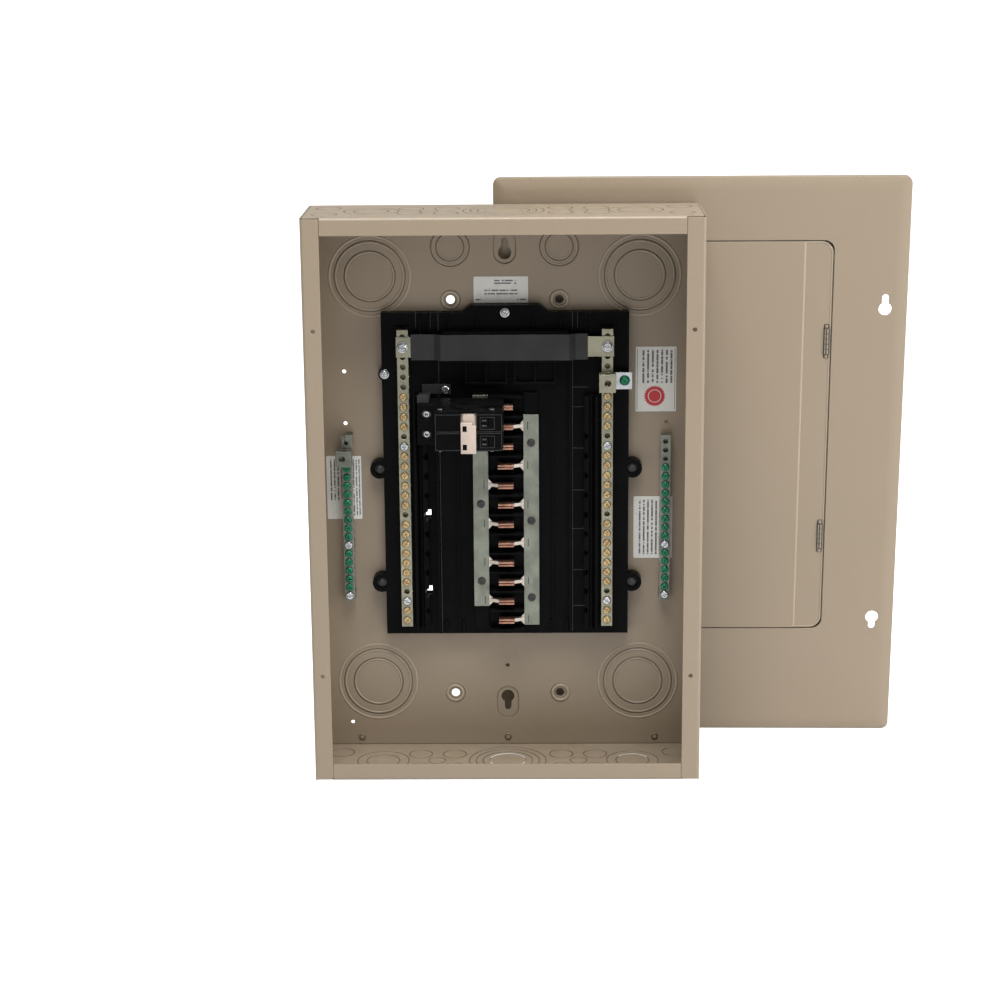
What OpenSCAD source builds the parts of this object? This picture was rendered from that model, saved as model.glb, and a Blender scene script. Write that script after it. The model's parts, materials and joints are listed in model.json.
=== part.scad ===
// Residential load center: steel enclosure, plug-on interior, two-pole main
// breaker, and a flush cover with a hinged door that leans behind the box.
// X runs to the right, Y runs from the open front to the back, Z is up.
// The origin is the middle of the enclosure's underside.

/* [Enclosure] */
// Width over the side walls
box_w = 363.5; // [340:1:450]
// Height over the end walls
box_h = 533.4; // [520:1:660]
// Depth from the front flanges to the back bosses
box_d = 98.4; // [92:0.5:125]
// Steel thickness
sheet = 1.5; // [1.2:0.1:2]
// Width of the side flanges
side_flange = 17; // [14:0.5:20]
// Width of the end flanges
end_flange = 16.1; // [13:0.1:20]
// Outside bend radius
bend_r = 3; // [2.5:0.1:5]
// Play where two formed pieces meet
seam_gap = 0.4; // [0.2:0.1:0.8]
// Gap between the side flanges' ends and the end walls' outer faces
flange_drop = 1.2; // [0.6:0.1:2]
// Chamfer on the free ends of the side flanges
flange_chamfer = 4; // [1:0.5:6]

/* [Knockouts] */
// Width of a knockout's shear line
ko_line_w = 0.9; // [0.4:0.1:1]
// Depth of a knockout's shear line on each face
ko_line_d = 0.5; // [0.2:0.05:0.6]
// Radius of the large back knockouts' slug
back_ko_slug_r = 24.2; // [18:0.1:27]
// Radius of the large back knockouts' middle ring
back_ko_ring_r = 33.6; // [30:0.1:35]
// Radius of the large back knockouts' outer ring
back_ko_rim_r = 38; // [37:0.1:41]
// Distance of the large back knockouts from the centre line
back_ko_x = 127; // [110:1:135]
// Distance of the large back knockouts from each end
back_ko_end = 66.5; // [60:0.5:80]
// Radius of the small back knockouts' slug
small_ko_slug_r = 13.2; // [10:0.1:14]
// Radius of the small back knockouts' ring
small_ko_ring_r = 18.3; // [16:0.1:20]
// Distance of the small back knockouts from the centre line
small_ko_x = 51.2; // [40:0.1:60]
// Distance of the small back knockouts from the top
small_ko_top = 39.4; // [36:0.1:50]
// Radius of the slug of the centre knockout in an end wall
end_slug_r = 17.5; // [14:0.5:18]
// Step between that knockout's rings
end_ring_step = 6.5; // [4:0.5:6.5]
// Number of rings around that slug
end_rings = 3; // [1:1:3]
// Radius of the slug of the side knockouts in an end wall
end_side_slug_r = 16; // [12:0.5:18]
// Radius of the ring of the side knockouts
end_side_ring_r = 25; // [21:0.5:27]
// Width of the open slit around a centre slug
ko_slit_w = 0.6; // [0.4:0.1:0.8]
// Width of the two ties that hold a centre slug
ko_tie_w = 4; // [2:0.5:6]
// Distance of the side knockouts from the centre line
end_side_x = 120.5; // [110:0.5:128]
// Radius of the single knockouts in an end wall
end_single_r = 11.2; // [8:0.1:12.5]
// Distance of the outer single knockouts from the centre line
end_outer_x = 161.6; // [155:0.1:166]
// Offset of the outer single knockouts from the middle of the depth
end_outer_y = 22.7; // [16:0.1:30]
// Middle of the group of five, from the centre line
five_x = 68.4; // [55:0.1:80]
// Half the spacing of the group of five along X
five_dx = 16.5; // [14:0.1:20]
// Half the spacing of the group of five along Y
five_dy = 17.5; // [14:0.1:22]

/* [Wall fixings] */
// Height of the pressed bosses on the back
boss_h = 1.2; // [0.8:0.1:2]
// Radius of the bosses around the wall holes
boss_r = 10.6; // [8:0.1:14]
// Radius of the wall holes
wall_hole_r = 4.1; // [3:0.1:5]
// Distance of the wall holes from the centre line
wall_hole_x = 51.2; // [45:0.1:60]
// Distance of the upper wall holes from the top
wall_hole_top = 89.4; // [80:0.1:110]
// Height of the lower wall holes
wall_hole_low = 54.4; // [45:0.1:70]
// Radius of the round end of a keyhole
key_r = 6.4; // [5:0.1:8]
// Width of a keyhole's slot
key_slot_w = 6.5; // [5:0.1:8]
// Length of a keyhole's slot from the round end's centre
key_slot_l = 11; // [9:0.5:14]
// Distance of the upper keyhole from the top
key_top = 45; // [40:0.5:60]
// Height of the lower keyhole
key_low = 50.6; // [44:0.1:60]
// Radius of the cover screw holes in the side flanges
flange_hole_r = 2; // [1.5:0.1:2.5]
// Inset of the cover screw holes from the side
flange_hole_in = 9.5; // [8:0.1:11]
// Distance of the upper cover screw holes from the top
flange_hole_top = 102.4; // [90:0.1:120]
// Height of the lower cover screw holes
flange_hole_low = 103.5; // [90:0.1:120]

/* [Interior pan] */
// Width of the moulded pan
pan_w = 233; // [225:1:250]
// Height of the pan above the top stab
pan_head = 87.5; // [87.5:0.5:100]
// Height of the pan below the lowest stab
pan_foot = 16.95; // [16.95:0.05:25]
// Height of the pan's lower edge above the box's underside
pan_rise = 119.5; // [100:0.5:130]
// Radius of the pan's single tab, on its left edge
tab_r = 6; // [5:0.5:7]
// Distance from the pan's edge to the tab's screw
tab_in = 2.5; // [1:0.5:4]
// Drop from the pan's upper edge to the tab's screw
tab_drop = 58; // [50:0.5:70]
// Height of the pan's face in front of the back wall
pan_face = 12; // [10:0.5:14]
// Wall thickness of the pan
pan_t = 3; // [2:0.1:4]
// Half width of the screw tab at the top of the pan
pan_tab_w = 32.5; // [25:0.5:40]
// Height of the screw tab
pan_tab_h = 7; // [5:0.5:10]
// Radius of the round ears
ear_r = 9; // [7:0.1:11]
// Height of the lower ears above the pan's lower edge
ear_low = 51; // [30:0.5:70]
// Height of the upper ears above the pan's lower edge
ear_high = 163.5; // [120:0.5:180]
// Radius of the pan's screw holes
pan_hole_r = 2.4; // [2:0.1:3]
// Width of the square sight holes
sight_w = 5.5; // [4:0.5:6]
// Height of the sight holes
sight_h = 8.7; // [5:0.1:10]
// Distance of the sight holes' outer edge from the centre line
sight_out = 77.3; // [76.5:0.1:77.5]
// Height of the lower sight hole above the pan's lower edge
sight_low = 42.8; // [30:0.1:60]
// Height of the upper sight hole above the pan's lower edge
sight_high = 118.6; // [90:0.1:140]

/* [Bus] */
// Distance between neighbouring breaker poles
pole_pitch = 19.05; // [19:0.05:25.4]
// Pole pitch that the pan's and the door's heights are given for
pitch_std = 19.05; // [19.05:0.05:25.4]
// Number of stabs down the middle
stab_count = 12; // [8:2:12]
// Width of a bus bar
bus_w = 14.4; // [12:0.1:16]
// Thickness of a bus bar
bus_t = 3; // [2:0.1:4]
// Front of a bus bar, in front of the back wall
bus_front = 20; // [18:0.5:22]
// Distance of a bus bar's middle from the centre line
bus_x = 24; // [22:0.1:28]
// Width of a stab blade
stab_w = 15; // [12:0.5:18]
// Thickness of a stab blade
stab_t = 2.4; // [1.6:0.1:3]
// Height of a stab blade's tip in front of the back wall
stab_tip = 29.5; // [28:0.5:31]
// Radius of a bus screw's head
bus_screw_r = 3.6; // [3:0.1:5]
// Height of a right bus screw above its stab
bus_screw_rise = 2.4; // [0:0.1:4]
// Height of the bus bars' upper ends above their first stab
bus_head = 10.5; // [8:0.5:12]
// Length of the bus bars below their last stab
bus_foot = 6; // [4:0.5:8]

/* [Neutral bars] */
// Distance of each neutral bar from the centre line
neutral_x = 96; // [92:0.5:100]
// Width of a neutral bar
neutral_w = 10.4; // [9.5:0.1:12]
// Thickness of a neutral bar
neutral_t = 8; // [7.5:0.1:10]
// Front of a neutral bar, in front of the back wall
neutral_front = 23; // [22:0.5:26]
// Distance between neighbouring neutral terminals
neutral_pitch = 9.525; // [9:0.005:9.8]
// Least distance of the last place above the pan's lower edge
neutral_foot = 16.9; // [12:0.1:18]
// Distance of the top place below the pan's upper edge
neutral_drop = 20.8; // [20:0.1:24]
// Radius of a terminal's threaded hole
terminal_r = 2.7; // [2.2:0.1:3]
// Radius of a terminal's wire hole
wire_r = 2.9; // [2:0.1:3]

/* [Neutral strap] */
// Height of the strap's sleeve
strap_h = 24.4; // [20:0.1:28]
// Thickness of the strap's sleeve
sleeve_t = 2.4; // [2:0.1:4]
// Thickness of the strap's metal
strap_t = 1.2; // [1:0.1:1.6]
// Distance of the sleeve's raised middle from the centre line
strap_mid = 61.3; // [50:0.1:66]
// Rise of the sleeve's middle over its ends
strap_rise = 4; // [2:0.5:6]
// Width of the strap's metal
strap_w = 19; // [16:0.5:20]
// Distance of the bonding screw outwards from the neutral bar
bond_out = 16; // [15:0.5:18]
// Radius of the bonding screw's hole
bond_hole_r = 2.5; // [2:0.1:3]

/* [Ground bars] */
// Distance of each ground bar from the side wall's inside
ground_in = 28.4; // [24:0.1:34]
// Width of a ground bar
ground_w = 9.6; // [8:0.1:11]
// Thickness of a ground bar
ground_t = 8; // [7:0.1:9]
// Front of a ground bar, in front of the back wall
ground_front = 12; // [10:0.5:16]
// Distance between neighbouring ground terminals
ground_pitch = 8.4; // [8.2:0.05:9.5]
// Number of places on a ground bar
ground_count = 19; // [19:1:21]
// Distance of the top place below the pan's upper edge
ground_drop = 124.3; // [110:0.1:140]
// Radius of a ground bar's threaded hole
ground_hole_r = 2.4; // [2:0.1:2.6]
// Depth of the larger ground lug
ground_lug_d = 12; // [11:0.5:13]
// Radius of the larger ground lug's wire hole
ground_wire_r = 3.6; // [3:0.1:3.8]

/* [Main breaker] */
// Depth of the breaker's face behind the front flanges
face_depth = 9; // [9:0.5:14]
// Width of the breaker's face
face_w = 62.8; // [58:0.1:64]
// Distance of the breaker's inner end from the centre line
inner_end = 1.5; // [1:0.1:3]
// Length of the terminal shelf beyond the face
shelf_l = 17; // [14:0.5:18]
// Height of the terminal shelf in front of the back wall
shelf_front = 58; // [50:0.5:62]
// Height of the breaker's underside in front of the back wall
breaker_base = 27; // [26:0.5:30]
// Wall of a breaker case
case_wall = 1.6; // [1.2:0.1:2.2]
// Play between neighbouring poles, each side
pole_gap = 0.1; // [0.05:0.05:0.3]
// Radius of the round foot that hooks the rail
foot_r = 2.4; // [2:0.1:3]
// Distance of the foot from the centre line
foot_x = 81; // [80:0.5:82]
// Height of the foot's centre in front of the back wall
foot_front = 21.5; // [21:0.5:23]
// Radial play of the foot in the rail
foot_play = 0.35; // [0.3:0.05:0.6]
// Clearance between the jaws and a stab
jaw_play = 0.35; // [0.3:0.05:0.5]
// Width of the tie handle
handle_w = 14; // [10:0.5:15]
// Length of the tie handle along the poles
handle_l = 31.8; // [24:0.1:35]
// Radius of the handle's round base
handle_r = 9; // [8:0.5:10]
// Radius of the handle's pivot
pivot_r = 2.5; // [2:0.1:3]
// Distance of the hold-down screw from the centre line
clip_x = 56.7; // [54:0.1:58]
// Height of the hold-down screw above the top stab
clip_rise = 14.8; // [14:0.1:16]

/* [Cover] */
// Lap of the cover over each side of the enclosure
lap_side = 13.25; // [10:0.25:20]
// Lap of the cover over each end of the enclosure
lap_end = 12.5; // [10:0.5:20]
// Steel thickness of the cover
cover_t = 1.3; // [1:0.1:1.6]
// Depth of the cover's turned edge
cover_edge = 6; // [4:0.5:8]
// Corner radius of the cover
cover_r = 7; // [6:0.5:10]
// Lean of the cover, in degrees
lean = 4.3; // [3:0.1:6]
// Turn of the cover about the vertical, in degrees
turn = -0.8; // [-2:0.1:0]
// Middle of the cover's lower edge, from the box's centre line
cover_x = 185; // [150:1:200]
// Gap between the cover and the box's back edge
lean_gap = 2.8; // [2.6:0.1:4]
// Width of the door
door_w = 248; // [230:1:260]
// Height of the door
door_h = 387.7; // [370:1:400]
// Height of the door's lower edge above the cover's
door_low = 109.9; // [100:0.1:120]
// Distance of the door's hinge edge from the cover's right edge
door_side = 71.2; // [60:0.1:80]
// Play around the door
door_gap = 1; // [0.8:0.1:1.5]
// Corner radius of the door
door_r = 12; // [8:0.5:14]
// How much tighter the opening's corners are than the door's
corner_ease = 2; // [2:0.5:4]
// Distance of the door's crease from its hinge edge
crease_in = 27; // [20:0.5:32]
// Depth of the recess behind the door
recess_d = 16; // [14:0.5:18]
// Distance of the lower hinge from the door's lower edge
hinge_low = 95.5; // [60:0.5:110]
// Distance of the upper hinge from the door's lower edge
hinge_high = 291.2; // [270:0.1:330]
// Distance of a hinge's axis from the door's hinge edge
hinge_in = 4; // [4:0.5:5]
// Length of a hinge knuckle
knuckle_l = 25; // [20:0.5:30]
// Radius of a hinge pin
pin_r = 1; // [0.8:0.1:1.2]
// Wall of a hinge knuckle
knuckle_t = 0.8; // [0.6:0.1:1]
// Radial play on a hinge pin
pin_play = 0.05; // [0.02:0.01:0.1]
// Radius of the round end of a cover keyhole
cover_key_r = 6.2; // [5:0.1:7]
// Radius of a cover keyhole's narrow end
cover_slot_r = 3.2; // [3:0.1:4]
// Length of an upper cover keyhole's slot
cover_slot_up = 11; // [8:0.5:12]
// Length of a lower cover keyhole's slot
cover_slot_down = 9; // [8:0.5:12]
// Distance of an upper keyhole's round end below its screw
cover_key_drop = 11.1; // [8:0.1:12]
// Distance of a lower keyhole's round end above its screw
cover_key_rise = 5; // [4:0.5:9]
// Distance of the cover keyholes outwards from their screws
cover_key_out = 1.85; // [0:0.05:2]
// Width of a breaker slot in the deadfront
slot_w = 44; // [40:0.5:50]
// Web between neighbouring breaker slots
slot_web = 1.6; // [1.2:0.1:3]
// Distance of the latch from the door's free edge
latch_in = 22; // [18:0.5:30]
// Travel of the latch
latch_throw = 5; // [3:0.5:6]

/* [Hidden] */
$fn = 48;
eps = 0.01;
over = 1;
y_front = -box_d/2;
y_rest = box_d/2;
y_out = y_rest - boss_h;
y_in = y_out - sheet;
in_w = box_w - 2*sheet;
flange_hole_z = [flange_hole_low, box_h-flange_hole_top];
ear_z = [ear_low, ear_high];
tab_x = tab_in - pan_w/2;
pan_h = pan_head + (stab_count-1)*pole_pitch + pan_foot;
pitch_more = pole_pitch - pitch_std;
pan_z = pan_rise - (stab_count-1)*pitch_more;
tab_z = pan_z + pan_h - tab_drop;
stab_z = [for (k = [0:stab_count-1]) pan_z + pan_h - pan_head - k*pole_pitch];
breaker_z = [stab_z[0], stab_z[1]];
neutral_count = 1 + floor((pan_h-neutral_drop-neutral_foot)/neutral_pitch);
neutral_z = [for (i = [0:neutral_count-1]) pan_z + pan_h - neutral_drop - i*neutral_pitch];
neutral_l = (neutral_count-1)*neutral_pitch + 13;
neutral_mid = (neutral_z[0] + neutral_z[neutral_count-1])/2;
neutral_silver = [11, neutral_count-3];
neutral_bare = [10, 18, neutral_count-4];
neutral_brass = [for (i = [6:neutral_count-1])
    if (len(search(i, concat(neutral_silver, neutral_bare))) == 0) i];
strap_place = 1;
lug_place = 4;
ground_x = in_w/2 - ground_in;
ground_z = [for (i = [0:ground_count-1]) pan_z + pan_h - ground_drop - i*ground_pitch];
ground_l = (ground_count-1)*ground_pitch + 12;
ground_mid = (ground_z[0] + ground_z[ground_count-1])/2;
ground_silver = [12, ground_count-1];
ground_green = [for (i = [3:ground_count-2]) if (i != ground_silver[0]) i];
case_x1 = -inner_end;
case_x0 = case_x1 - face_w;
shelf_x0 = case_x0 - shelf_l;
case_y0 = y_front + face_depth;
case_y1 = y_in - breaker_base;
shelf_y = y_in - shelf_front;
nose_x = -stab_w/2 - 3;
nose_front = 20.5;
nose_w = 14.6;
pole_h = pole_pitch - 2*pole_gap;
pole_line = (breaker_z[0] + breaker_z[1])/2;
handle_x = (case_x0 + case_x1)/2;
handle_y = case_y0 + handle_r - 1;
foot_y = y_in - foot_front;
rail_top = foot_front + 4;
strap_y = y_in - neutral_front - strap_t;
cover_w = box_w + 2*lap_side;
cover_h = box_h + 2*lap_end;
slot_h = pole_pitch - slot_web;
dead_rise = lap_end;
door_z0 = door_low - (stab_count-0.5)*pitch_more;
door_l = door_h + stab_count*pitch_more;
door_x1 = cover_w/2 - door_side;
door_mid = door_x1 - door_w/2;
hinge_z = [hinge_low, hinge_high];
hinge_x = door_x1 - hinge_in;
door_y = 0.4;
hinge_y = door_y + cover_t/2;
knuckle_r = pin_r + knuckle_t;
hinge_ears = knuckle_l/2 + 0.6;
ear_h = 3;
cover_y = y_rest + lean_gap + box_h*tan(lean);
label_gap = 0.3;
sight_x = -sight_out;
sight_z = [pan_z+sight_low, pan_z+sight_high];
bus_top = [stab_z[0]+bus_head, stab_z[1]+bus_head];
bus_low = [stab_z[stab_count-2]-bus_foot, stab_z[stab_count-1]-bus_foot];
bus_screw_places = [
    for (k = [1:4:stab_count-1]) [-bus_x, stab_z[k]],
    for (k = [2:4:stab_count-1]) [bus_x, stab_z[k]+bus_screw_rise]
];
strap_z = neutral_z[strap_place];
lug_z = (neutral_z[lug_place] + neutral_z[lug_place+1])/2;
bond_x = neutral_x + bond_out;
rivet_x = [case_x0+5, case_x1-10];
rivet_y = case_y0 + 6;
arm_x = handle_x + 1;
arm_y = handle_y + 14;
clip_screw = [-clip_x, stab_z[0]+clip_rise];
latch_x = door_mid - door_w/2 + latch_in;
latch_z = door_z0 + door_l/2;
fillers = [for (s = [-1, 1], k = [0:stab_count-1]) if (s > 0 || k > 1)
    [-s*handle_x, stab_z[k]+dead_rise]];
dead_screws = [for (x = [-1, 1], z = [12, door_l-12]) [door_mid+x*(door_w/2-14), door_z0+z]];
brass_c = [0.72, 0.60, 0.36];
tin_c = [0.66, 0.68, 0.62];
zinc_c = [0.78, 0.79, 0.80];
tan_c = [0.64, 0.57, 0.47];
black_c = [0.07, 0.07, 0.08];

// ---- helpers ---------------------------------------------------------------

// Box from x0..x1, y0..y1, z0..z1
module block(x0, x1, y0, y1, z0, z1) {
    translate([x0, y0, z0]) cube([x1-x0, y1-y0, z1-z0]);
}

// Rectangle centred on the origin with round corners
module round_rect(w, h, r) {
    square([w-2*r, h], center=true);
    square([w, h-2*r], center=true);
    for (x = [-1, 1], y = [-1, 1]) translate([x*(w/2-r), y*(h/2-r)]) circle(r);
}

// Cylinder along Y from y0 to y1
module rod_y(x, z, y0, y1, r) {
    translate([x, y0, z]) rotate([-90, 0, 0]) cylinder(h=y1-y0, r=r);
}

// Cylinder along X, centred on x
module rod_x(x, y, z, l, r) {
    translate([x, y, z]) rotate([0, 90, 0]) cylinder(h=l, r=r, center=true);
}

// Flat outline drawn in X and Z, from y0 to y1
module plate_y(y0, y1) {
    translate([0, y1, 0]) rotate([90, 0, 0]) linear_extrude(y1-y0) children();
}

// Shear lines of a knockout in a plate that lies on XY, between 0 and t
module ko_lines(radii, t) {
    for (r = radii, z = [-eps, t-ko_line_d]) translate([0, 0, z]) difference() {
        cylinder(h=ko_line_d+eps, r=r+ko_line_w/2);
        translate([0, 0, -over]) cylinder(h=ko_line_d+2*over, r=r-ko_line_w/2);
    }
}

// Open slit around a slug in such a plate, bridged by two ties
module ko_slit(r) {
    translate([0, 0, -over]) linear_extrude(sheet+2*over) difference() {
        circle(r+ko_slit_w/2);
        circle(r-ko_slit_w/2);
        square([2*r+2*over, ko_tie_w], center=true);
    }
}

// Knockout in the back wall
module back_ko(x, z, radii) {
    translate([x, y_in, z]) rotate([-90, 0, 0]) ko_lines(radii, sheet);
}

// Keyhole outline with the slot towards dir
module keyhole(r, slot_w, slot_l, dir) {
    circle(r);
    translate([0, dir*slot_l/2]) square([slot_w, slot_l], center=true);
    translate([0, dir*slot_l]) circle(slot_w/2);
}

// Screw along Y: head in front of y, shank behind it
module screw(x, z, y, head_r, head_h, shank_r, shank_l, slot_w=0.9) {
    difference() {
        union() {
            rod_y(x, z, y-head_h, y, head_r);
            rod_y(x, z, y-eps, y+shank_l, shank_r);
        }
        block(x-head_r-over, x+head_r+over, y-head_h-over, y-head_h*0.45, z-slot_w/2, z+slot_w/2);
    }
}

// Places a piece drawn in the cover's own frame: X across, Y back, Z up its face
module on_cover() {
    translate([cover_x, cover_y, 0]) rotate([lean, 0, turn]) children();
}

// ---- enclosure -------------------------------------------------------------

module wrap_outline() {
    mid = (y_front + y_out)/2;
    depth = y_out - y_front;
    difference() {
        translate([0, mid]) round_rect(box_w, depth, bend_r);
        translate([0, mid]) round_rect(in_w, depth-2*sheet, bend_r-sheet);
        translate([-box_w/2+side_flange, y_front-over])
            square([box_w-2*side_flange, sheet+2*over]);
    }
}

module boss_outside(x, z, r) {
    translate([x, y_out-eps, z]) rotate([-90, 0, 0]) cylinder(h=boss_h+eps, r1=r, r2=r-0.6);
}

module boss_inside(x, z, r) {
    translate([x, y_in-eps, z]) rotate([-90, 0, 0])
        cylinder(h=boss_h+eps, r1=r-1.1, r2=r-1.7);
}

module key_boss(z, dir, r, y0, h) {
    translate([0, y0, z+dir*key_slot_l/2]) rotate([-90, 0, 0]) linear_extrude(h) {
        square([2*r, key_slot_l], center=true);
        for (s = [-1, 1]) translate([0, s*key_slot_l/2]) circle(r);
    }
}

module wall_holes() {
    for (x = [-1, 1], z = [wall_hole_low, box_h-wall_hole_top]) translate([x*wall_hole_x, 0, z])
        children();
}

module box_wrap() {
    color(tan_c) difference() {
        union() {
            linear_extrude(box_h) wrap_outline();
            wall_holes() boss_outside(0, 0, boss_r);
            key_boss(box_h-key_top, 1, boss_r+1.5, y_out-eps, boss_h+eps);
            key_boss(key_low, -1, boss_r+1.5, y_out-eps, boss_h+eps);
            // weld buttons above the lower end wall
            for (x = [-1:1]) rod_y(x*144, 9, y_in-0.9, y_in+eps, 3);
        }
        wall_holes() {
            boss_inside(0, 0, boss_r);
            rod_y(0, 0, y_in-over, y_rest+over, wall_hole_r);
        }
        for (k = [[box_h-key_top, 1], [key_low, -1]]) {
            key_boss(k[0], k[1], boss_r+0.1, y_in-eps, boss_h+eps);
            translate([0, 0, k[0]]) plate_y(y_in-over, y_rest+over)
                keyhole(key_r, key_slot_w, key_slot_l, k[1]);
        }
        for (x = [-1, 1]) {
            for (z = [back_ko_end, box_h-back_ko_end])
                back_ko(x*back_ko_x, z, [back_ko_slug_r, back_ko_ring_r, back_ko_rim_r]);
            back_ko(x*small_ko_x, box_h-small_ko_top, [small_ko_slug_r, small_ko_ring_r]);
            for (z = flange_hole_z)
                rod_y(x*(box_w/2-flange_hole_in), z, y_front-over, y_front+sheet+over, flange_hole_r);
            // side flanges end short of the end walls' outer faces
            for (z = [-over, box_h-flange_drop])
                translate([x*(box_w/2-side_flange/2-over), 0, z]) block(-side_flange/2, side_flange/2,
                    y_front-over, y_front+sheet+over, 0, flange_drop+over);
            // small fixing holes beside the pan
            for (z = [pan_z+206.2, pan_z+256.5, 24.8])
                rod_y(x*(pan_w/2+36.5), z, y_in-over, y_rest+over, 1.9);
            // lower corners of the side flanges
            translate([x*(box_w/2-side_flange), y_front-over, 0]) rotate([0, 45, 0])
                cube([flange_chamfer, 2*(sheet+over), flange_chamfer], center=true);
        }
        rod_y(bond_x, lug_z+1, y_in-over, y_rest+over, bond_hole_r);
        rod_y(0, pan_z-36.6, y_in-over, y_rest+over, 1.9);
        for (z = sight_z) block(sight_x, sight_x+sight_w, y_in-over, y_rest+over,
            z-sight_h+sight_w, z+sight_w);
    }
}

// End wall drawn with its outer face at z = 0 and its flange above it
module end_wall() {
    w = in_w - 2*seam_gap;
    flange_w = box_w - 2*side_flange - 2*seam_gap;
    difference() {
        union() {
            block(-w/2, w/2, y_front+bend_r, y_in-seam_gap, 0, sheet);
            block(-flange_w/2, flange_w/2, y_front, y_front+sheet, bend_r, end_flange);
            // rounded bend between the wall and the flange
            translate([-flange_w/2, y_front+bend_r, bend_r]) rotate([0, 90, 0])
                linear_extrude(flange_w) intersection() {
                    difference() {
                        circle(bend_r);
                        circle(bend_r-sheet);
                    }
                    translate([0, -bend_r]) square(bend_r);
                }
        }
        ko_lines([for (i = [1:end_rings]) end_slug_r + i*end_ring_step], sheet);
        ko_slit(end_slug_r);
        for (x = [-1, 1]) {
            translate([x*end_side_x, 0, 0]) ko_lines([end_side_slug_r, end_side_ring_r], sheet);
            for (y = [-1, 1]) {
                translate([x*end_outer_x, y*end_outer_y, 0]) ko_lines([end_single_r], sheet);
                for (s = [-1, 1]) translate([x*five_x+s*five_dx, y*five_dy, 0])
                    ko_lines([end_single_r], sheet);
            }
            translate([x*five_x, 0, 0]) ko_lines([end_single_r-3], sheet);
        }
    }
}

module top_end_wall() {
    color(tan_c) translate([0, 0, box_h]) mirror([0, 0, 1]) end_wall();
}

module bottom_end_wall() {
    color(tan_c) end_wall();
}

// ---- interior pan ----------------------------------------------------------

module pan_outline(grow=0) {
    translate([0, pan_h/2]) square([pan_w+2*grow, pan_h+2*grow], center=true);
    polygon([[-pan_tab_w-9, pan_h-1], [-pan_tab_w, pan_h+pan_tab_h+grow],
        [pan_tab_w, pan_h+pan_tab_h+grow], [pan_tab_w+9, pan_h-1]]);
    for (x = [-1, 1], z = ear_z) translate([x*(pan_w/2+4), z]) circle(ear_r+grow);
}

module rail_outline() {
    difference() {
        translate([-foot_x-6, 0]) square([12.5, rail_top]);
        translate([-foot_x, foot_front]) circle(foot_r+foot_play);
        polygon([[-foot_x-4.4, rail_top+1], [-foot_x-1.8, foot_front],
            [-foot_x+1.8, foot_front], [-foot_x+2.4, rail_top+1]]);
    }
}

// One hook rail on the pan, with a scallop between neighbouring poles
module hook_rail() {
    low = stab_z[stab_count-1] - pole_pitch/2;
    high = stab_z[0] + pole_pitch/2;
    difference() {
        translate([0, y_in, low]) mirror([0, 1, 0]) linear_extrude(high-low) difference() {
            rail_outline();
            translate([-foot_x-10, -over]) square([20, pan_face+over-0.5]);
        }
        for (z = [for (z = stab_z) if (z < stab_z[1] - over) z + pole_pitch/2])
            translate([-foot_x+6.5, y_in-rail_top/2, z]) rotate([90, 0, 0])
                cylinder(h=rail_top*2, r=3.4, center=true);
    }
}

module base_pan() {
    face = y_in - pan_face;
    color(black_c) difference() {
        union() {
            translate([0, 0, pan_z]) plate_y(face, y_in) difference() {
                pan_outline();
                translate([0, pan_t]) pan_hollow();
            }
            translate([0, 0, pan_z]) plate_y(face, face+pan_t) pan_outline();
            for (z = ear_z, x = [-1, 1])
                rod_y(x*(pan_w/2+4), pan_z+z, face, y_in, ear_r);
            rod_y(0, pan_z+pan_h, face, y_in, 7);
            rod_y(tab_x, tab_z, face, y_in, tab_r);
            hook_rail();
            mirror([1, 0, 0]) hook_rail();
            pan_ribs(face);
        }
        for (z = ear_z, x = [-1, 1]) {
            rod_y(x*(pan_w/2+4), pan_z+z, face-over, y_in+over, pan_hole_r);
            rod_y(x*(pan_w/2+4), pan_z+z, face-over, face+2.5, 5.2);
        }
        rod_y(0, pan_z+pan_h, face-over, y_in+over, pan_hole_r);
        rod_y(tab_x, tab_z, face-over, y_in+over, pan_hole_r);
        for (z = sight_z) block(sight_x, sight_x+sight_w, y_in-rail_top-over, y_in+over,
            z-sight_h+sight_w, z+sight_w);
        rod_y(clip_screw[0], clip_screw[1], face-over, y_in+over, pan_hole_r);
        rod_y(bond_x, lug_z+1, face-over, y_in+over, bond_hole_r);
        // screw holes under the bars
        for (s = [-1, 1], i = neutral_silver)
            rod_y(s*neutral_x, neutral_z[i], y_in-pan_face-over-10, y_in-1, terminal_r);
        for (p = bus_screw_places)
            rod_y(p[0], p[1], y_in-bus_front, y_in-pan_face+over+2, 1.9);
    }
}

// Space under the pan, inside its rim
module pan_hollow() {
    translate([-pan_w/2+pan_t, 0]) square([pan_w-2*pan_t, pan_h-2*pan_t]);
}

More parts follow.
